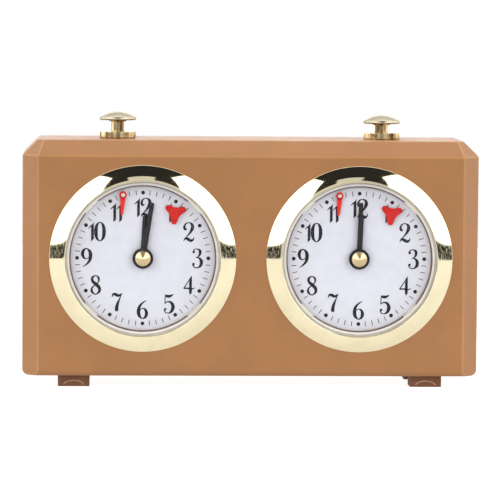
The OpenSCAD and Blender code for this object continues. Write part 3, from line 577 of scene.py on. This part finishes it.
def make_feet():
    """Four moulded blocks with a stud that holds them and a low arch that stands out in front."""
    sole, stud_r, stud_low = case_low.z, 2 * MM, case_low.z - 0.5 * MM
    arch_r, arch_rise, arch_low, arch_deep, sunk = 4.4 * MM, 2.1 * MM, 0.75 * MM, 0.35 * MM, 0.05 * MM
    inner_share, inner_rise_share, steps = 0.84, 0.7, 16
    mesh = bmesh.new()
    for low, high in loose_parts("feet"):
        (x, y), half = circle_of(low, high, upright=True)
        foot = [(-half, 0), (-half, sole), (half, sole), (half, 0)]
        plate(mesh, foot, (x, low.z), low.y + arch_deep, high.y)
        angles = [math.pi * k / steps for k in range(steps + 1)]
        arch = [(arch_r * math.cos(t), arch_rise * math.sin(t)) for t in angles]
        arch += [(a * inner_share, b * inner_rise_share) for a, b in reversed(arch)]
        first = len(mesh.faces)
        plate(mesh, arch, (x, low.z + arch_low), low.y, low.y + arch_deep + sunk)
        # the arch takes the lighter finish: a painted highlight along the bead
        mesh.faces.ensure_lookup_table()
        for face in mesh.faces[first:]:
            face.material_index = 1
        turned(mesh, oblong(0, stud_r, stud_low, high.z), (x, y), steps=32, upright=True)
    finished("feet_moulded", mesh, "foot_rubber", "feet", 0.18 * MM, more=("foot_worn",))


# ---- buttons

def make_button(side):
    """A mushroom cap with a thin brim on a polished stem, with the collar that stops it inside."""
    node = f"button_{side}"
    low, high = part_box(node)
    centre, cap_r = circle_of(low, high, upright=True)
    stem_r, collar_r, collar_thick, collar_drop = 2.8 * MM, 4.2 * MM, 1.5 * MM, 5.1 * MM
    level = (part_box("button_left")[1].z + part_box("button_right")[1].z) / 2
    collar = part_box("button_bushes")[0].z - collar_drop + (high.z - level)
    brim = high.z - 3.7 * MM
    dome_share, dome_rise, steps = 0.965, 2.5 * MM, 14
    shares = [dome_share * k / steps for k in range(steps + 1)]
    outline = [(cap_r * share, high.z - dome_rise * share ** 2) for share in shares]
    outline += [(cap_r * 0.99, brim + 1.05 * MM), (cap_r, brim + 0.75 * MM), (cap_r, brim + 0.3 * MM),
                (cap_r - 0.45 * MM, brim), (stem_r + 1.1 * MM, brim + 0.1 * MM),
                (stem_r + 0.9 * MM, brim - 0.5 * MM), (stem_r, brim - 0.6 * MM),
                (stem_r, collar + collar_thick), (collar_r, collar + collar_thick),
                (collar_r, collar), (stem_r, collar), (stem_r, low.z), (0, low.z)]
    mesh = turned(bmesh.new(), eased(outline, 0.18 * MM), centre, upright=True)
    # the stem and collar below the brim take the brass with painted reflection streaks
    for face in mesh.faces:
        if face.calc_center_median().z < brim - 0.01 * MM:
            face.material_index = 1
    finished(f"push_button_{side}", mesh, "button_brass", node, more=("turned_brass",))


def make_bushes():
    """Two flanged bushes with a step at the foot, and their nuts under the case's top wall."""
    bore, barrel, nut_bore, foot_in = 2.85 * MM, 4.4 * MM, 4.45 * MM, 0.4 * MM
    mesh = bmesh.new()
    for low, high in loose_parts("button_bushes"):
        centre, r = circle_of(low, high, upright=True)
        if high.z > TOP:
            outline = [(bore, low.z), (barrel, low.z), (barrel, TOP), (r - foot_in, TOP),
                       (r - foot_in, TOP + 0.35 * MM), (r, TOP + 0.42 * MM), (r, high.z - 0.15 * MM),
                       (r - 0.2 * MM, high.z), (bore + 0.5 * MM, high.z), (bore, high.z - 0.3 * MM)]
            turned(mesh, eased(outline, 0.12 * MM), centre, upright=True)
        else:
            turned(mesh, oblong(nut_bore, r, low.z, high.z), centre, steps=6, upright=True)
    # the bushes take the brass with painted reflection streaks
    finished("button_bushes_turned", mesh, "turned_brass", "button_bushes")


# ---- bezels, lenses and dials

def make_bezel(side):
    """A gilt ring with a bowed face that falls towards its rim, its skirt, and four folded claws."""
    node = f"bezel_{side}"
    centre, radius = circle_of(*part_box(node))
    r = radius / MM
    bore, skirt_in, skirt_out, skirt_end = r - 6.8, r - 6.3, r - 5.7, 1.3
    rim_slope, inner_slope, edge, steps = math.radians(34), math.radians(11.3), 0.4, 14
    face_out, face_in = r - 0.3, bore + 0.3
    bow = (face_out - face_in) / (math.sin(rim_slope) - math.sin(inner_slope))
    arc = []
    for k in range(steps + 1):
        a = rim_slope + (inner_slope - rim_slope) * k / steps
        arc.append((face_out + bow * (math.sin(a) - math.sin(rim_slope)),
                    -edge - bow * (math.cos(a) - math.cos(rim_slope))))
    crown = arc[-1][1]
    rim = [(r, 0.0), (r - 0.04, -0.07), (r - 0.1, -0.2), (r - 0.2, -0.316)]
    inner = [(bore + 0.08, crown + 0.02), (bore, crown + 0.3), (bore, 0.3), (skirt_in, 0.3),
             (skirt_in, skirt_end), (skirt_out, skirt_end), (skirt_out, 0.0)]
    outline = eased(scaled(rim + arc + inner, FRONT), 0.12 * MM, sharpest=14)
    mesh = turned(bmesh.new(), outline, centre, steps=180)
    claw_half, root, foot, lip_end, fold_end = 3.2, skirt_in - 0.2, skirt_out - 0.2, 29.95, 35.0
    # the tab, lip and fold of a claw: how far out each starts and ends, and how deep it lies
    claw = ((root, foot, 1.0, 3.9), (lip_end, foot, 1.7, 2.3), (root, fold_end, 3.3, 3.9))
    for turn in (45, 135, 225, 315):
        for start, end, near, far in claw:
            bar = scaled(oblong(-claw_half, claw_half, start, end))
            plate(mesh, bar, centre, FRONT + near * MM, FRONT + far * MM, turn)
    finished(f"bezel_ring_{side}", mesh, "bezel_gold", node)


def dome(ball, front, edge, steps=28):
    """Half the outline of a dome, from its top to its edge."""
    reach = math.asin(edge / ball)
    angles = [reach * k / steps for k in range(steps + 1)]
    return [(ball * math.sin(a), front + ball * (1 - math.cos(a))) for a in angles]


def make_lens(side):
    """A clear dome with a flat flange; the dome's edge and the flange are left frosted."""
    node = f"lens_{side}"
    low, high, centre, flange_r = fitted(node)
    seat, thick = high.y - 0.7 * MM, 1.2 * MM
    dome_r = flange_r - 1.6 * MM
    frost_r, seat_r, inside_r = dome_r - 0.2 * MM, dome_r + 0.5 * MM, dome_r - 2.5 * MM
    rise = seat - low.y
    ball = (dome_r ** 2 + rise ** 2) / (2 * rise)
    groove_r, groove_half, groove_deep = flange_r - 0.8 * MM, 0.15 * MM, 0.14 * MM
    outline = dome(ball, low.y, frost_r) + [(dome_r, seat)]
    outline += [(groove_r - groove_half, seat), (groove_r, seat + groove_deep),
                (groove_r + groove_half, seat), (flange_r, seat), (flange_r, high.y), (inside_r, high.y)]
    outline += dome(ball - thick, low.y + thick, inside_r)[::-1]
    mesh = turned(bmesh.new(), outline, centre, steps=144)
    for face in mesh.faces:
        place = face.calc_center_median()
        distance = (place.xz - centre).length
        if distance > seat_r:
            face.material_index = 2
        elif distance > frost_r and place.y < seat + 0.2 * MM:
            face.material_index = 1
    finished(f"lens_dome_{side}", mesh, "lens_glass", node, more=("lens_rim", "lens_seat"))


def begin_tree(name, *labels):
    """A geometry node tree with named inputs: its nodes, what the inputs give, and their identifiers."""
    tree = bpy.data.node_groups.new(name, "GeometryNodeTree")
    tree.interface.new_socket("Geometry", in_out="OUTPUT", socket_type="NodeSocketGeometry")
    kinds = {"Count": "NodeSocketInt", "Finish": "NodeSocketMaterial"}
    identifiers = {}
    for label in labels:
        kind = kinds.get(label, "NodeSocketFloat")
        identifiers[label] = tree.interface.new_socket(label, in_out="INPUT", socket_type=kind).identifier
    n = Nodes(tree)
    return n, n.add("NodeGroupInput").outputs, identifiers


def end_tree(n, made, finish):
    """Turns what was made to face the front, makes it real and gives it its finish."""
    facing = n.get("GeometryNodeTransform", {"Geometry": made, "Rotation": (math.pi / 2, 0, 0)})
    real = n.get("GeometryNodeRealizeInstances", {"Geometry": facing})
    n.add("NodeGroupOutput", {0: n.get("GeometryNodeSetMaterial", {"Geometry": real, "Material": finish})})


def track_tree():
    """A printed minute track: a dot at every fifth minute, a tick at the others."""
    n, given, identifiers = begin_tree("minute_track", "Count", "Radius", "Dot Radius", "Tick Length",
                                       "Tick Width", "Thickness", "Finish")
    ring = n.get("GeometryNodeMeshCircle", {"Vertices": given["Count"], "Radius": given["Radius"]})
    number = n.get("GeometryNodeInputIndex")
    plain = n.math("GREATER_THAN", n.math("MODULO", number, 5.0), 0.5)
    turn = n.get("ShaderNodeCombineXYZ", {2: n.product(number, math.radians(6))})
    thick = given["Thickness"]
    size = n.get("ShaderNodeCombineXYZ", {0: given["Tick Length"], 1: given["Tick Width"], 2: thick})
    tick = n.get("GeometryNodeMeshCube", {"Size": size})
    dot = n.get("GeometryNodeMeshCylinder", {"Vertices": 32, "Radius": given["Dot Radius"], "Depth": thick})
    ticks = n.get("GeometryNodeInstanceOnPoints", {"Points": ring, "Selection": plain, "Instance": tick,
                                                   "Rotation": turn})
    dots = n.get("GeometryNodeInstanceOnPoints", {"Points": ring, "Selection": n.inverse(plain),
                                                  "Instance": dot})
    joined = n.add("GeometryNodeJoinGeometry")
    for part in (dots, ticks):
        n.tree.links.new(part, joined.inputs[0])
    end_tree(n, joined.outputs[0], given["Finish"])
    return n.tree, identifiers


def ridge_tree():
    """A knurled grip: bars set evenly round an axis that runs from front to back."""
    n, given, identifiers = begin_tree("knurled_grip", "Count", "Radius", "Bar Radius", "Length", "Finish")
    ring = n.get("GeometryNodeMeshCircle", {"Vertices": given["Count"], "Radius": given["Radius"]})
    bar = n.get("GeometryNodeMeshCylinder", {"Vertices": 12, "Radius": given["Bar Radius"],
                                             "Depth": given["Length"]})
    bars = n.get("GeometryNodeInstanceOnPoints", {"Points": ring, "Instance": bar})
    end_tree(n, bars, given["Finish"])
    return n.tree, identifiers


def grown(name, pattern, values, place):
    """Runs a node tree on an empty piece, keeps the result as a plain mesh and sets it in its place."""
    tree, identifiers = pattern
    made = bpy.data.objects.new(name, bpy.data.meshes.new(name))
    scene.collection.objects.link(made)
    modifier = made.modifiers.new("make", "NODES")
    modifier.node_group = tree
    for label, value in values.items():
        modifier[identifiers[label]] = value
    settle(made)
    made.data.transform(Matrix.Translation(place))
    return made


# ---- numerals

# A stroke is a line or loop of (x, z, width), a flat outline of (x, z), or a ball of (x, z, radius).
# Every figure is drawn 8 high.
ONE = [("flat", [(0.15, 5.15), (0.0, 5.35), (0.75, 6.35), (1.75, 7.1), (2.35, 8.05), (2.35, 0.95),
                 (1.2, -0.15), (1.2, 6.0), (0.6, 5.55)])]
TWO = [("line", [(1.75, 5.35, 0.2), (1.05, 5.0, 0.75), (0.62, 5.9, 0.85), (1.15, 7.3, 0.5),
                 (2.5, 7.85, 0.3), (3.75, 7.1, 0.9), (3.95, 5.6, 1.2), (3.0, 3.7, 0.7),
                 (1.6, 2.0, 0.32), (0.45, 0.5, 0.3)]),
       ("line", [(0.3, 0.25, 0.12), (1.2, 1.35, 0.75), (2.4, 0.85, 1.1), (3.5, 0.4, 0.95),
                 (4.35, 0.95, 0.5), (4.6, 1.95, 0.12)])]
THREE = [("ball", (0.95, 6.55, 0.52)),
         ("line", [(0.62, 6.8, 0.4), (1.3, 7.65, 0.3), (2.4, 7.85, 0.35), (3.5, 7.1, 0.95),
                   (3.45, 5.6, 0.8), (2.6, 4.55, 0.3), (1.75, 4.3, 0.22)]),
         ("line", [(1.75, 4.35, 0.22), (3.1, 4.15, 0.5), (4.05, 2.95, 1.15), (3.9, 1.2, 1.05),
                   (2.7, 0.15, 0.4), (1.35, 0.25, 0.35), (0.5, 1.25, 0.4)]),
         ("ball", (0.85, 1.6, 0.56))]
FOUR = [("flat", [(2.35, 0.9), (2.35, 5.6), (3.5, 8.0), (3.5, 0.9), (2.75, -0.1)]),
        ("line", [(3.35, 7.75, 0.2), (1.7, 5.1, 0.3), (0.2, 2.75, 0.4)]),
        ("line", [(0.05, 2.6, 0.4), (1.5, 2.75, 0.5), (3.4, 2.45, 0.45), (4.85, 2.95, 0.15)])]
FIVE = [("line", [(0.85, 7.55, 0.5), (1.9, 7.1, 1.05), (3.1, 7.25, 0.85), (4.3, 8.05, 0.12)]),
        ("line", [(0.95, 7.5, 0.28), (0.82, 5.9, 0.28), (0.75, 4.1, 0.32)]),
        ("line", [(0.75, 4.1, 0.25), (1.9, 4.85, 0.4), (3.4, 4.4, 0.9), (4.1, 2.7, 1.3),
                  (3.5, 0.9, 0.95), (2.2, 0.1, 0.35), (0.9, 0.5, 0.35), (0.5, 1.4, 0.4)]),
        ("ball", (0.86, 1.7, 0.54))]
SIX = [("line", [(4.0, 7.6, 0.18), (2.6, 6.8, 0.5), (1.2, 5.2, 0.95), (0.75, 3.2, 1.25),
                 (1.05, 1.4, 1.1), (2.3, 0.15, 0.35), (3.6, 0.85, 0.9), (4.05, 2.4, 1.15),
                 (3.5, 3.9, 0.75), (2.45, 4.35, 0.3), (1.4, 3.7, 0.3), (1.15, 2.7, 0.3)])]
SEVEN = [("line", [(0.25, 6.15, 0.15), (0.75, 7.3, 0.7), (1.7, 7.3, 1.05), (3.0, 6.75, 0.9),
                   (4.4, 7.75, 0.2)]),
         ("line", [(4.35, 7.65, 0.22), (3.5, 5.6, 0.4), (2.6, 3.4, 0.95), (2.2, 1.5, 1.25),
                   (2.25, 0.3, 1.0)])]
EIGHT = [("loop", [(2.4, 7.85, 0.35), (1.05, 7.0, 0.85), (1.15, 5.6, 0.95), (2.4, 4.4, 1.2),
                   (3.75, 3.1, 1.15), (3.95, 1.4, 0.9), (2.4, 0.15, 0.35), (0.85, 1.35, 0.85),
                   (1.05, 2.9, 0.55), (2.4, 4.2, 0.3), (3.55, 5.4, 0.45), (3.6, 6.95, 0.75)])]
NINE = [(kind, [(4.8 - x, 8 - z, w) for x, z, w in stroke]) for kind, stroke in SIX]
NOUGHT = [("loop", [(2.4, 7.85, 0.3), (1.1, 6.6, 0.95), (0.72, 4.0, 1.3), (1.1, 1.4, 0.95),
                    (2.4, 0.15, 0.3), (3.7, 1.4, 0.95), (4.08, 4.0, 1.3), (3.7, 6.6, 0.95)])]
# each figure's strokes and its width
FIGURES = {"0": (NOUGHT, 4.9), "1": (ONE, 2.6), "2": (TWO, 4.8), "3": (THREE, 4.8), "4": (FOUR, 4.9),
           "5": (FIVE, 4.8), "6": (SIX, 4.8), "7": (SEVEN, 4.6), "8": (EIGHT, 4.8), "9": (NINE, 4.8)}
# how far each hour's figures stand from the dial's centre
FIGURE_REACH = {1: 21.9, 2: 21.9, 3: 22.6, 4: 22.4, 5: 21.9, 6: 21.3, 7: 21.3, 8: 22.5, 9: 23.3,
                10: 21.9, 11: 21.9, 12: 21.0}


def curve_through(points, closed, between=6):
    """Places on a smooth curve through (x, z, width) points."""
    count = len(points)

    def point(i):
        return points[i % count] if closed else points[min(max(i, 0), count - 1)]

    result = []
    for i in range(count if closed else count - 1):
        near = [point(i + k) for k in (-1, 0, 1, 2)]
        for step in range(between):
            t = step / between
            result.append([0.5 * (2 * b + (c - a) * t + (2 * a - 5 * b + 4 * c - d) * t * t
                                  + (3 * b - a - 3 * c + d) * t ** 3) for a, b, c, d in zip(*near)])
    return result if closed else result + [list(points[-1])]


def ribbon(mesh, points, closed, place, front, back):
    """A thin solid along a curve, as wide as each of its points says."""
    fuller, thinnest = 1.12, 0.06
    path = curve_through(points, closed)
    rows = []
    for i, (x, z, width) in enumerate(path):
        ahead = path[(i + 1) % len(path)] if closed else path[min(i + 1, len(path) - 1)]
        behind = path[i - 1] if closed else path[max(i - 1, 0)]
        along = Vector((ahead[0] - behind[0], ahead[1] - behind[1])).normalized()
        across = Vector((-along.y, along.x)) * (fuller * width + thinnest) / 2
        row = []
        for side in (1, -1):
            flat = place((x + side * across.x, z + side * across.y))
            row += [mesh.verts.new((flat[0], y, flat[1])) for y in (front, back)]
        rows.append(row)
    pairs = list(zip(rows, rows[1:])) + ([(rows[-1], rows[0])] if closed else [])
    for (a, b, c, d), (e, f, g, h) in pairs:
        for corners in ((a, c, g, e), (b, f, h, d), (a, e, f, b), (c, d, h, g)):
            mesh.faces.new(corners)
    if not closed:
        for a, b, c, d in (rows[0], rows[-1]):
            mesh.faces.new((a, b, d, c))


def figures(mesh, hour, centre, front, back):
    """One hour's figures, upright, in their place on the dial."""
    size, drawn_high, overlap = 8.05 / 8, 8, 0.15
    angle, reach = math.radians(30 * hour), FIGURE_REACH[hour]
    digits = [FIGURES[d] for d in str(hour)]
    width = sum(w for _, w in digits) - overlap * (len(digits) - 1)
    left = reach * math.sin(angle) - width * size / 2
    low = reach * math.cos(angle) - drawn_high / 2 * size
    for strokes, w in digits:
        def place(p, left=left):
            return ((left + p[0] * size) * MM + centre.x, (low + p[1] * size) * MM + centre.y)
        for kind, stroke in strokes:
            if kind == "ball":
                turned(mesh, oblong(0, stroke[2] * MM, front, back), place(stroke), 24)
            elif kind == "flat":
                plate(mesh, [place(p) for p in stroke], (0, 0), front, back)
            else:
                ribbon(mesh, stroke, kind == "loop", place, front, back)
        left += (w - overlap) * size


def make_dial(side, track):
    """A white disc, its printed minute track, and its printed hours."""
    node = f"dial_{side}"
    low, _, centre, r = fitted(node)
    hub, thick, ink = 2.5 * MM, 0.8 * MM, 0.03 * MM
    front = low.y
    disc = oblong(hub, r, front + ink, front + thick)
    mesh = turned(bmesh.new(), eased(disc, 0.1 * MM), centre, steps=144)
    finished(f"dial_face_{side}", mesh, "dial_white", node)
    values = {"Count": 60, "Radius": 27.2 * MM, "Dot Radius": 0.8 * MM, "Tick Length": 2.0 * MM,
              "Tick Width": 0.3 * MM, "Thickness": ink, "Finish": FINISHES["dial_print"]}
    printed = grown(f"minute_track_{side}", track, values, (centre.x, front + ink / 2, centre.y))
    show(printed, node, "dial_print", node)
    mesh = bmesh.new()
    for hour in range(1, 13):
        figures(mesh, hour, centre, front, front + ink)
    finished(f"hour_figures_{side}", mesh, "dial_print", node, smooth=30)


# ---- hands, caps, flags, running indicators

def baton(mesh, length, width, centre, front, back, turn, start):
    """A straight hand with a ridge along its middle and a rounded blunt end."""
    end_share, blunt = 0.84, 0.6 * MM
    shoulder = front + 0.45 * (back - front)
    places = [(start, 1.0), (0.3 * length, 1.0), (length - blunt, 1.0)]
    for a in map(math.radians, (25, 45, 62, 76)):
        places.append((length - blunt * (1 - math.sin(a)), math.cos(a) ** 0.6))
    rows = []
    for z, round_off in places:
        half = width / 2 * (1 + (end_share - 1) * z / length) * round_off
        ridge = shoulder + (front - shoulder) * round_off
        levels = ((-half, back), (-half, shoulder), (0, ridge), (half, shoulder), (half, back))
        rows.append([(x, z, y) for x, y in levels])
    rows.append([(0, length, y) for y in (back, shoulder, shoulder, shoulder, back)])
    c, s = math.cos(math.radians(turn)), math.sin(math.radians(turn))
    made = []
    for row in rows:
        places = [(centre.x + x * c + z * s, y, centre.y - x * s + z * c) for x, z, y in row]
        made.append([mesh.verts.new(place) for place in places])
    for near, far in zip(made, made[1:]):
        for i in range(5):
            j = (i + 1) % 5
            mesh.faces.new((near[i], near[j], far[j], far[i]))
    mesh.faces.new(made[0])


def make_hand(kind, side, turn, length, hub_r, bore):
    node = f"{kind}_hand_{side}"
    low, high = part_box(node)
    centre = fitted(f"dial_{side}")[2]
    width, root = 2.2 * MM, hub_r - 0.8 * MM
    mesh = turned(bmesh.new(), eased(oblong(bore, hub_r, low.y, high.y), 0.22 * MM), centre, steps=72)
    baton(mesh, length, width, centre, low.y, high.y, turn, root)
    finished(f"{kind}_baton_{side}", mesh, "hand_black", node, smooth=24)


def make_hand_cap(side):
    """A gilt cone turned to a point, with a bright step round its foot."""
    node = f"hand_cap_{side}"
    low, _, centre, r = fitted(node)
    neck, neck_deep, step, steps = 0.86 * MM, 0.8 * MM, 0.75 * MM, 6
    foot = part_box(f"minute_hand_{side}")[0].y
    cone = [(r * k / steps, low.y + (foot - step - low.y) * (k / steps) ** 1.04) for k in range(steps + 1)]
    rest = [(r, foot), (neck, foot), (neck, foot - neck_deep), (0, foot - neck_deep)]
    mesh = turned(bmesh.new(), eased(cone + rest, 0.1 * MM, sharpest=20), centre)
    finished(f"cone_cap_{side}", mesh, "cap_gold", node)


FLAG_RING_R = 1.55 * MM


def flag_ring(side):
    """A flag's box, and the middle of the ring at its top."""
    low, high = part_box(f"flag_{side}")
    return low, high, Vector((high.x - FLAG_RING_R, high.z - FLAG_RING_R))


def make_flag(side):
    """The red flag: a ring on its post and a tail that narrows to a rounded end."""
    low, high, centre = flag_ring(side)
    lean, bore, length, tip_r = 3.3, 0.85 * MM, 8.2 * MM, 0.5 * MM
    wide, joint, joint_low = 1.1 * MM, 0.75 * MM, -0.95 * MM
    angles = [math.radians(-180 + 180 * k / 8) for k in range(9)]
    end = [(tip_r * math.cos(a), tip_r - length + tip_r * math.sin(a)) for a in angles]
    waist = -math.sqrt(FLAG_RING_R ** 2 - wide ** 2)
    tail = [(-wide, waist), *end, (wide, waist), (joint, joint_low), (-joint, joint_low)]
    mesh = plate(bmesh.new(), tail, centre, low.y, high.y, lean)
    turned(mesh, oblong(bore, FLAG_RING_R, low.y, high.y), centre, steps=48)
    finished(f"signal_flag_{side}", mesh, "signal_red", f"flag_{side}", 0.1 * MM)


def make_flag_post(side):
    """A polished head on the post that the flag turns on."""
    low, _, centre = flag_ring(side)
    head_r = 0.8 * MM
    outline = [(0, low.y - 0.45 * MM), (0.6 * head_r, low.y - 0.42 * MM), (head_r, low.y - 0.3 * MM),
               (head_r, low.y - 0.05 * MM), (0, low.y - 0.05 * MM)]
    mesh = turned(bmesh.new(), eased(outline, 0.08 * MM), centre, steps=32)
    finished(f"flag_post_head_{side}", mesh, "post_nickel", "front_plates", replacing=False)


def make_indicator(side):
    """The three-lobed red indicator that shows which clock runs."""
    node = f"indicator_{side}"
    low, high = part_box(node)
    centre, _ = circle_of(*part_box(f"escape_wheel_{side}"))
    top_r, low_share, sharpness, lobes, down = 4.8 * MM, 0.5, 1.9, 3, 263
    low_r = low_share * top_r
    outline = []
    for a in range(0, 360, 4):
        swell = (1 + math.cos(math.radians(lobes * (a - down)))) / 2
        r = low_r + (top_r - low_r) * swell ** sharpness
        outline.append((r * math.cos(math.radians(a)), r * math.sin(math.radians(a))))
    mesh = plate(bmesh.new(), outline, centre, low.y, high.y)
    finished(f"running_indicator_{side}", mesh, "indicator_red", node, 0.22 * MM, segments=3)


# ---- back of the case

def make_setting_knob(side, grip):
    """A dished brass knob with a knurled rim on a plain neck."""
    node = f"setting_knob_{side}"
    low, high, centre, r = fitted(node)
    bar_r, bore, neck, dish = 0.34 * MM, 0.86 * MM, 2.4 * MM, 1.9 * MM
    core, front, floor = r - bar_r, low.y + 1.2 * MM, high.y - 0.9 * MM
    outline = [(bore, low.y), (neck, low.y), (neck, front), (core - 0.6 * MM, front),
               (core, front + 0.5 * MM), (core, high.y - 0.5 * MM), (core - 0.7 * MM, high.y),
               (core - 1.3 * MM, high.y), (dish, high.y - 0.45 * MM), (0, high.y - 0.5 * MM),
               (0, floor), (bore, floor)]
    mesh = turned(bmesh.new(), eased(outline, 0.15 * MM), centre)
    finished(f"setting_knob_turned_{side}", mesh, "button_brass", node)
    values = {"Count": 36, "Radius": core, "Bar Radius": bar_r, "Length": high.y - front - 1.2 * MM,
              "Finish": FINISHES["button_brass"]}
    bars = grown(f"setting_knob_grip_{side}", grip, values, (centre.x, (front + high.y) / 2, centre.y))
    show(bars, node, "button_brass", node)


def make_winding_key(side):
    """A butterfly key: two pierced wings on a bored hub."""
    node = f"winding_key_{side}"
    low, high, centre, _ = fitted(node)
    hub_r, bore, bore_end, hub_end = 3.1 * MM, 1.7 * MM, low.y + 4 * MM, high.y - 2 * MM
    wing_r, hole_r, wing_half, web_half = 4.8 * MM, 2.4 * MM, 0.9 * MM, 1.5 * MM
    outline = [(0, hub_end), (hub_r - MM, hub_end), (hub_r, hub_end - MM), (hub_r, low.y), (bore, low.y),
               (bore, bore_end), (0, bore_end)]
    mesh = turned(bmesh.new(), eased(outline, 0.3 * MM), centre, steps=72)
    back = high.y - wing_r
    ring = [(r, centre.y + z) for r, z in eased(oblong(hole_r, wing_r, -wing_half, wing_half), 0.35 * MM)]
    wings = [s * (hub_r + wing_r - 1.2 * MM) for s in (-1, 1)]
    for x in wings:
        turned(mesh, ring, (centre.x + x, back), steps=64, upright=True)
    for x in wings:
        near, far = sorted((0.5 * x, x - math.copysign(hole_r + 0.2 * MM, x)))
        block(mesh, (centre.x + near, back - web_half, centre.y - wing_half),
              (centre.x + far, back + web_half, centre.y + wing_half))
    finished(f"winding_key_cast_{side}", mesh, "button_brass", node)


def make_screws():
    """Slotted screws with a chamfered head, one for each hole of the cover."""
    shank, slot, deep, head, steps = 1.25 * MM, 0.36 * MM, 0.8 * MM, 1.6 * MM, 16
    mesh = bmesh.new()
    for low, high in loose_parts("cover_screws"):
        centre, r = circle_of(low, high)
        under, floor = high.y - head, high.y - deep
        body = [(0, under + 0.01 * MM), (r, under + 0.01 * MM), (r, high.y - 0.6 * MM),
                (r - 0.35 * MM, floor), (0, floor)]
        turned(mesh, eased(body, 0.1 * MM), centre, steps=48)
        thread = [(0, low.y), (0.7 * shank, low.y), (shank, low.y + MM), (shank, under), (0, under)]
        turned(mesh, thread, centre, steps=32)
        reach = r - 0.3 * MM
        start = math.asin(slot / reach)
        angles = [start + (math.pi - 2 * start) * k / steps for k in range(steps + 1)]
        for s in (-1, 1):
            arc = [(reach * math.cos(a), s * reach * math.sin(a)) for a in angles]
            plate(mesh, arc, centre, high.y - 0.9 * deep, floor - 0.05 * MM)
            cap = [(0.9 * px, s * slot + 0.9 * (pz - s * slot)) for px, pz in arc]
            plate(mesh, cap, centre, high.y, high.y - 0.9 * deep)
    finished("cover_screws_slotted", mesh, "screw_steel", "cover_screws", 0.06 * MM, smooth=30)


def make_regulator(side):
    """The index arm under the cover and the finger pin that stands out through its slot."""
    node = f"regulator_{side}"
    low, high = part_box(node)
    boss_r, bore, arm, pin_r, half, tip = 3.2 * MM, 1.95 * MM, 10 * MM, 0.8 * MM, 1.1 * MM, 1.2 * MM
    centre = Vector(((low.x + high.x) / 2, low.z + boss_r))
    leaf = low.y + 0.8 * MM
    mesh = turned(bmesh.new(), eased(oblong(bore, boss_r, low.y, leaf), 0.12 * MM), centre, steps=48)
    outline = [(-half, 2.6 * MM), (half, 2.6 * MM), (half, arm), (0.5 * half, arm + tip),
               (-0.5 * half, arm + tip), (-half, arm)]
    plate(mesh, outline, centre, low.y, leaf)
    pin = oblong(0, pin_r, leaf - 0.1 * MM, high.y)
    turned(mesh, eased(pin, 0.25 * MM), (centre.x, centre.y + arm), steps=32)
    finished(f"regulator_index_{side}", mesh, "screw_steel", node)


def dress_movement():
    """The works inside keep their shapes and get metal finishes."""
    shared = {"plate_brass": ("front_plates", "back_plates", "pillars", "rocker"),
              "screw_steel": ("rocker_pivot",)}
    sided = {"plate_brass": ("centre_wheel", "minute_wheel", "hour_wheel", "barrel", "third_wheel",
                             "fourth_wheel", "escape_wheel", "balance_wheel"),
             "screw_steel": ("winding_arbor", "click", "pallet_lever"),
             "spring_steel": ("mainspring", "hairspring")}
    works = [(name, finish) for finish, names in shared.items() for name in names]
    for side in SIDES:
        works += [(f"{name}_{side}", finish) for finish, names in sided.items() for name in names]
    for node, finish in works:
        frame["nodes"][node].material_slots[0].material = FINISHES[finish]


def main():
    place_camera()
    build_studio()
    lay_floor()
    make_case()
    make_feet()
    make_bushes()
    track, grip = track_tree(), ridge_tree()
    for side, minute_turn, hour_turn in (("left", 9.4, 3), ("right", 1.3, 3)):
        make_button(side)
        make_bezel(side)
        make_lens(side)
        make_dial(side, track)
        make_hand("minute", side, minute_turn, length=23.5 * MM, hub_r=4.3 * MM, bore=1.36 * MM)
        make_hand("hour", side, hour_turn, length=17.8 * MM, hub_r=4.0 * MM, bore=2.06 * MM)
        make_hand_cap(side)
        make_flag(side)
        make_flag_post(side)
        make_indicator(side)
        make_setting_knob(side, grip)
        make_winding_key(side)
        make_regulator(side)
    make_screws()
    dress_movement()


FINISHES = make_finishes()
main()
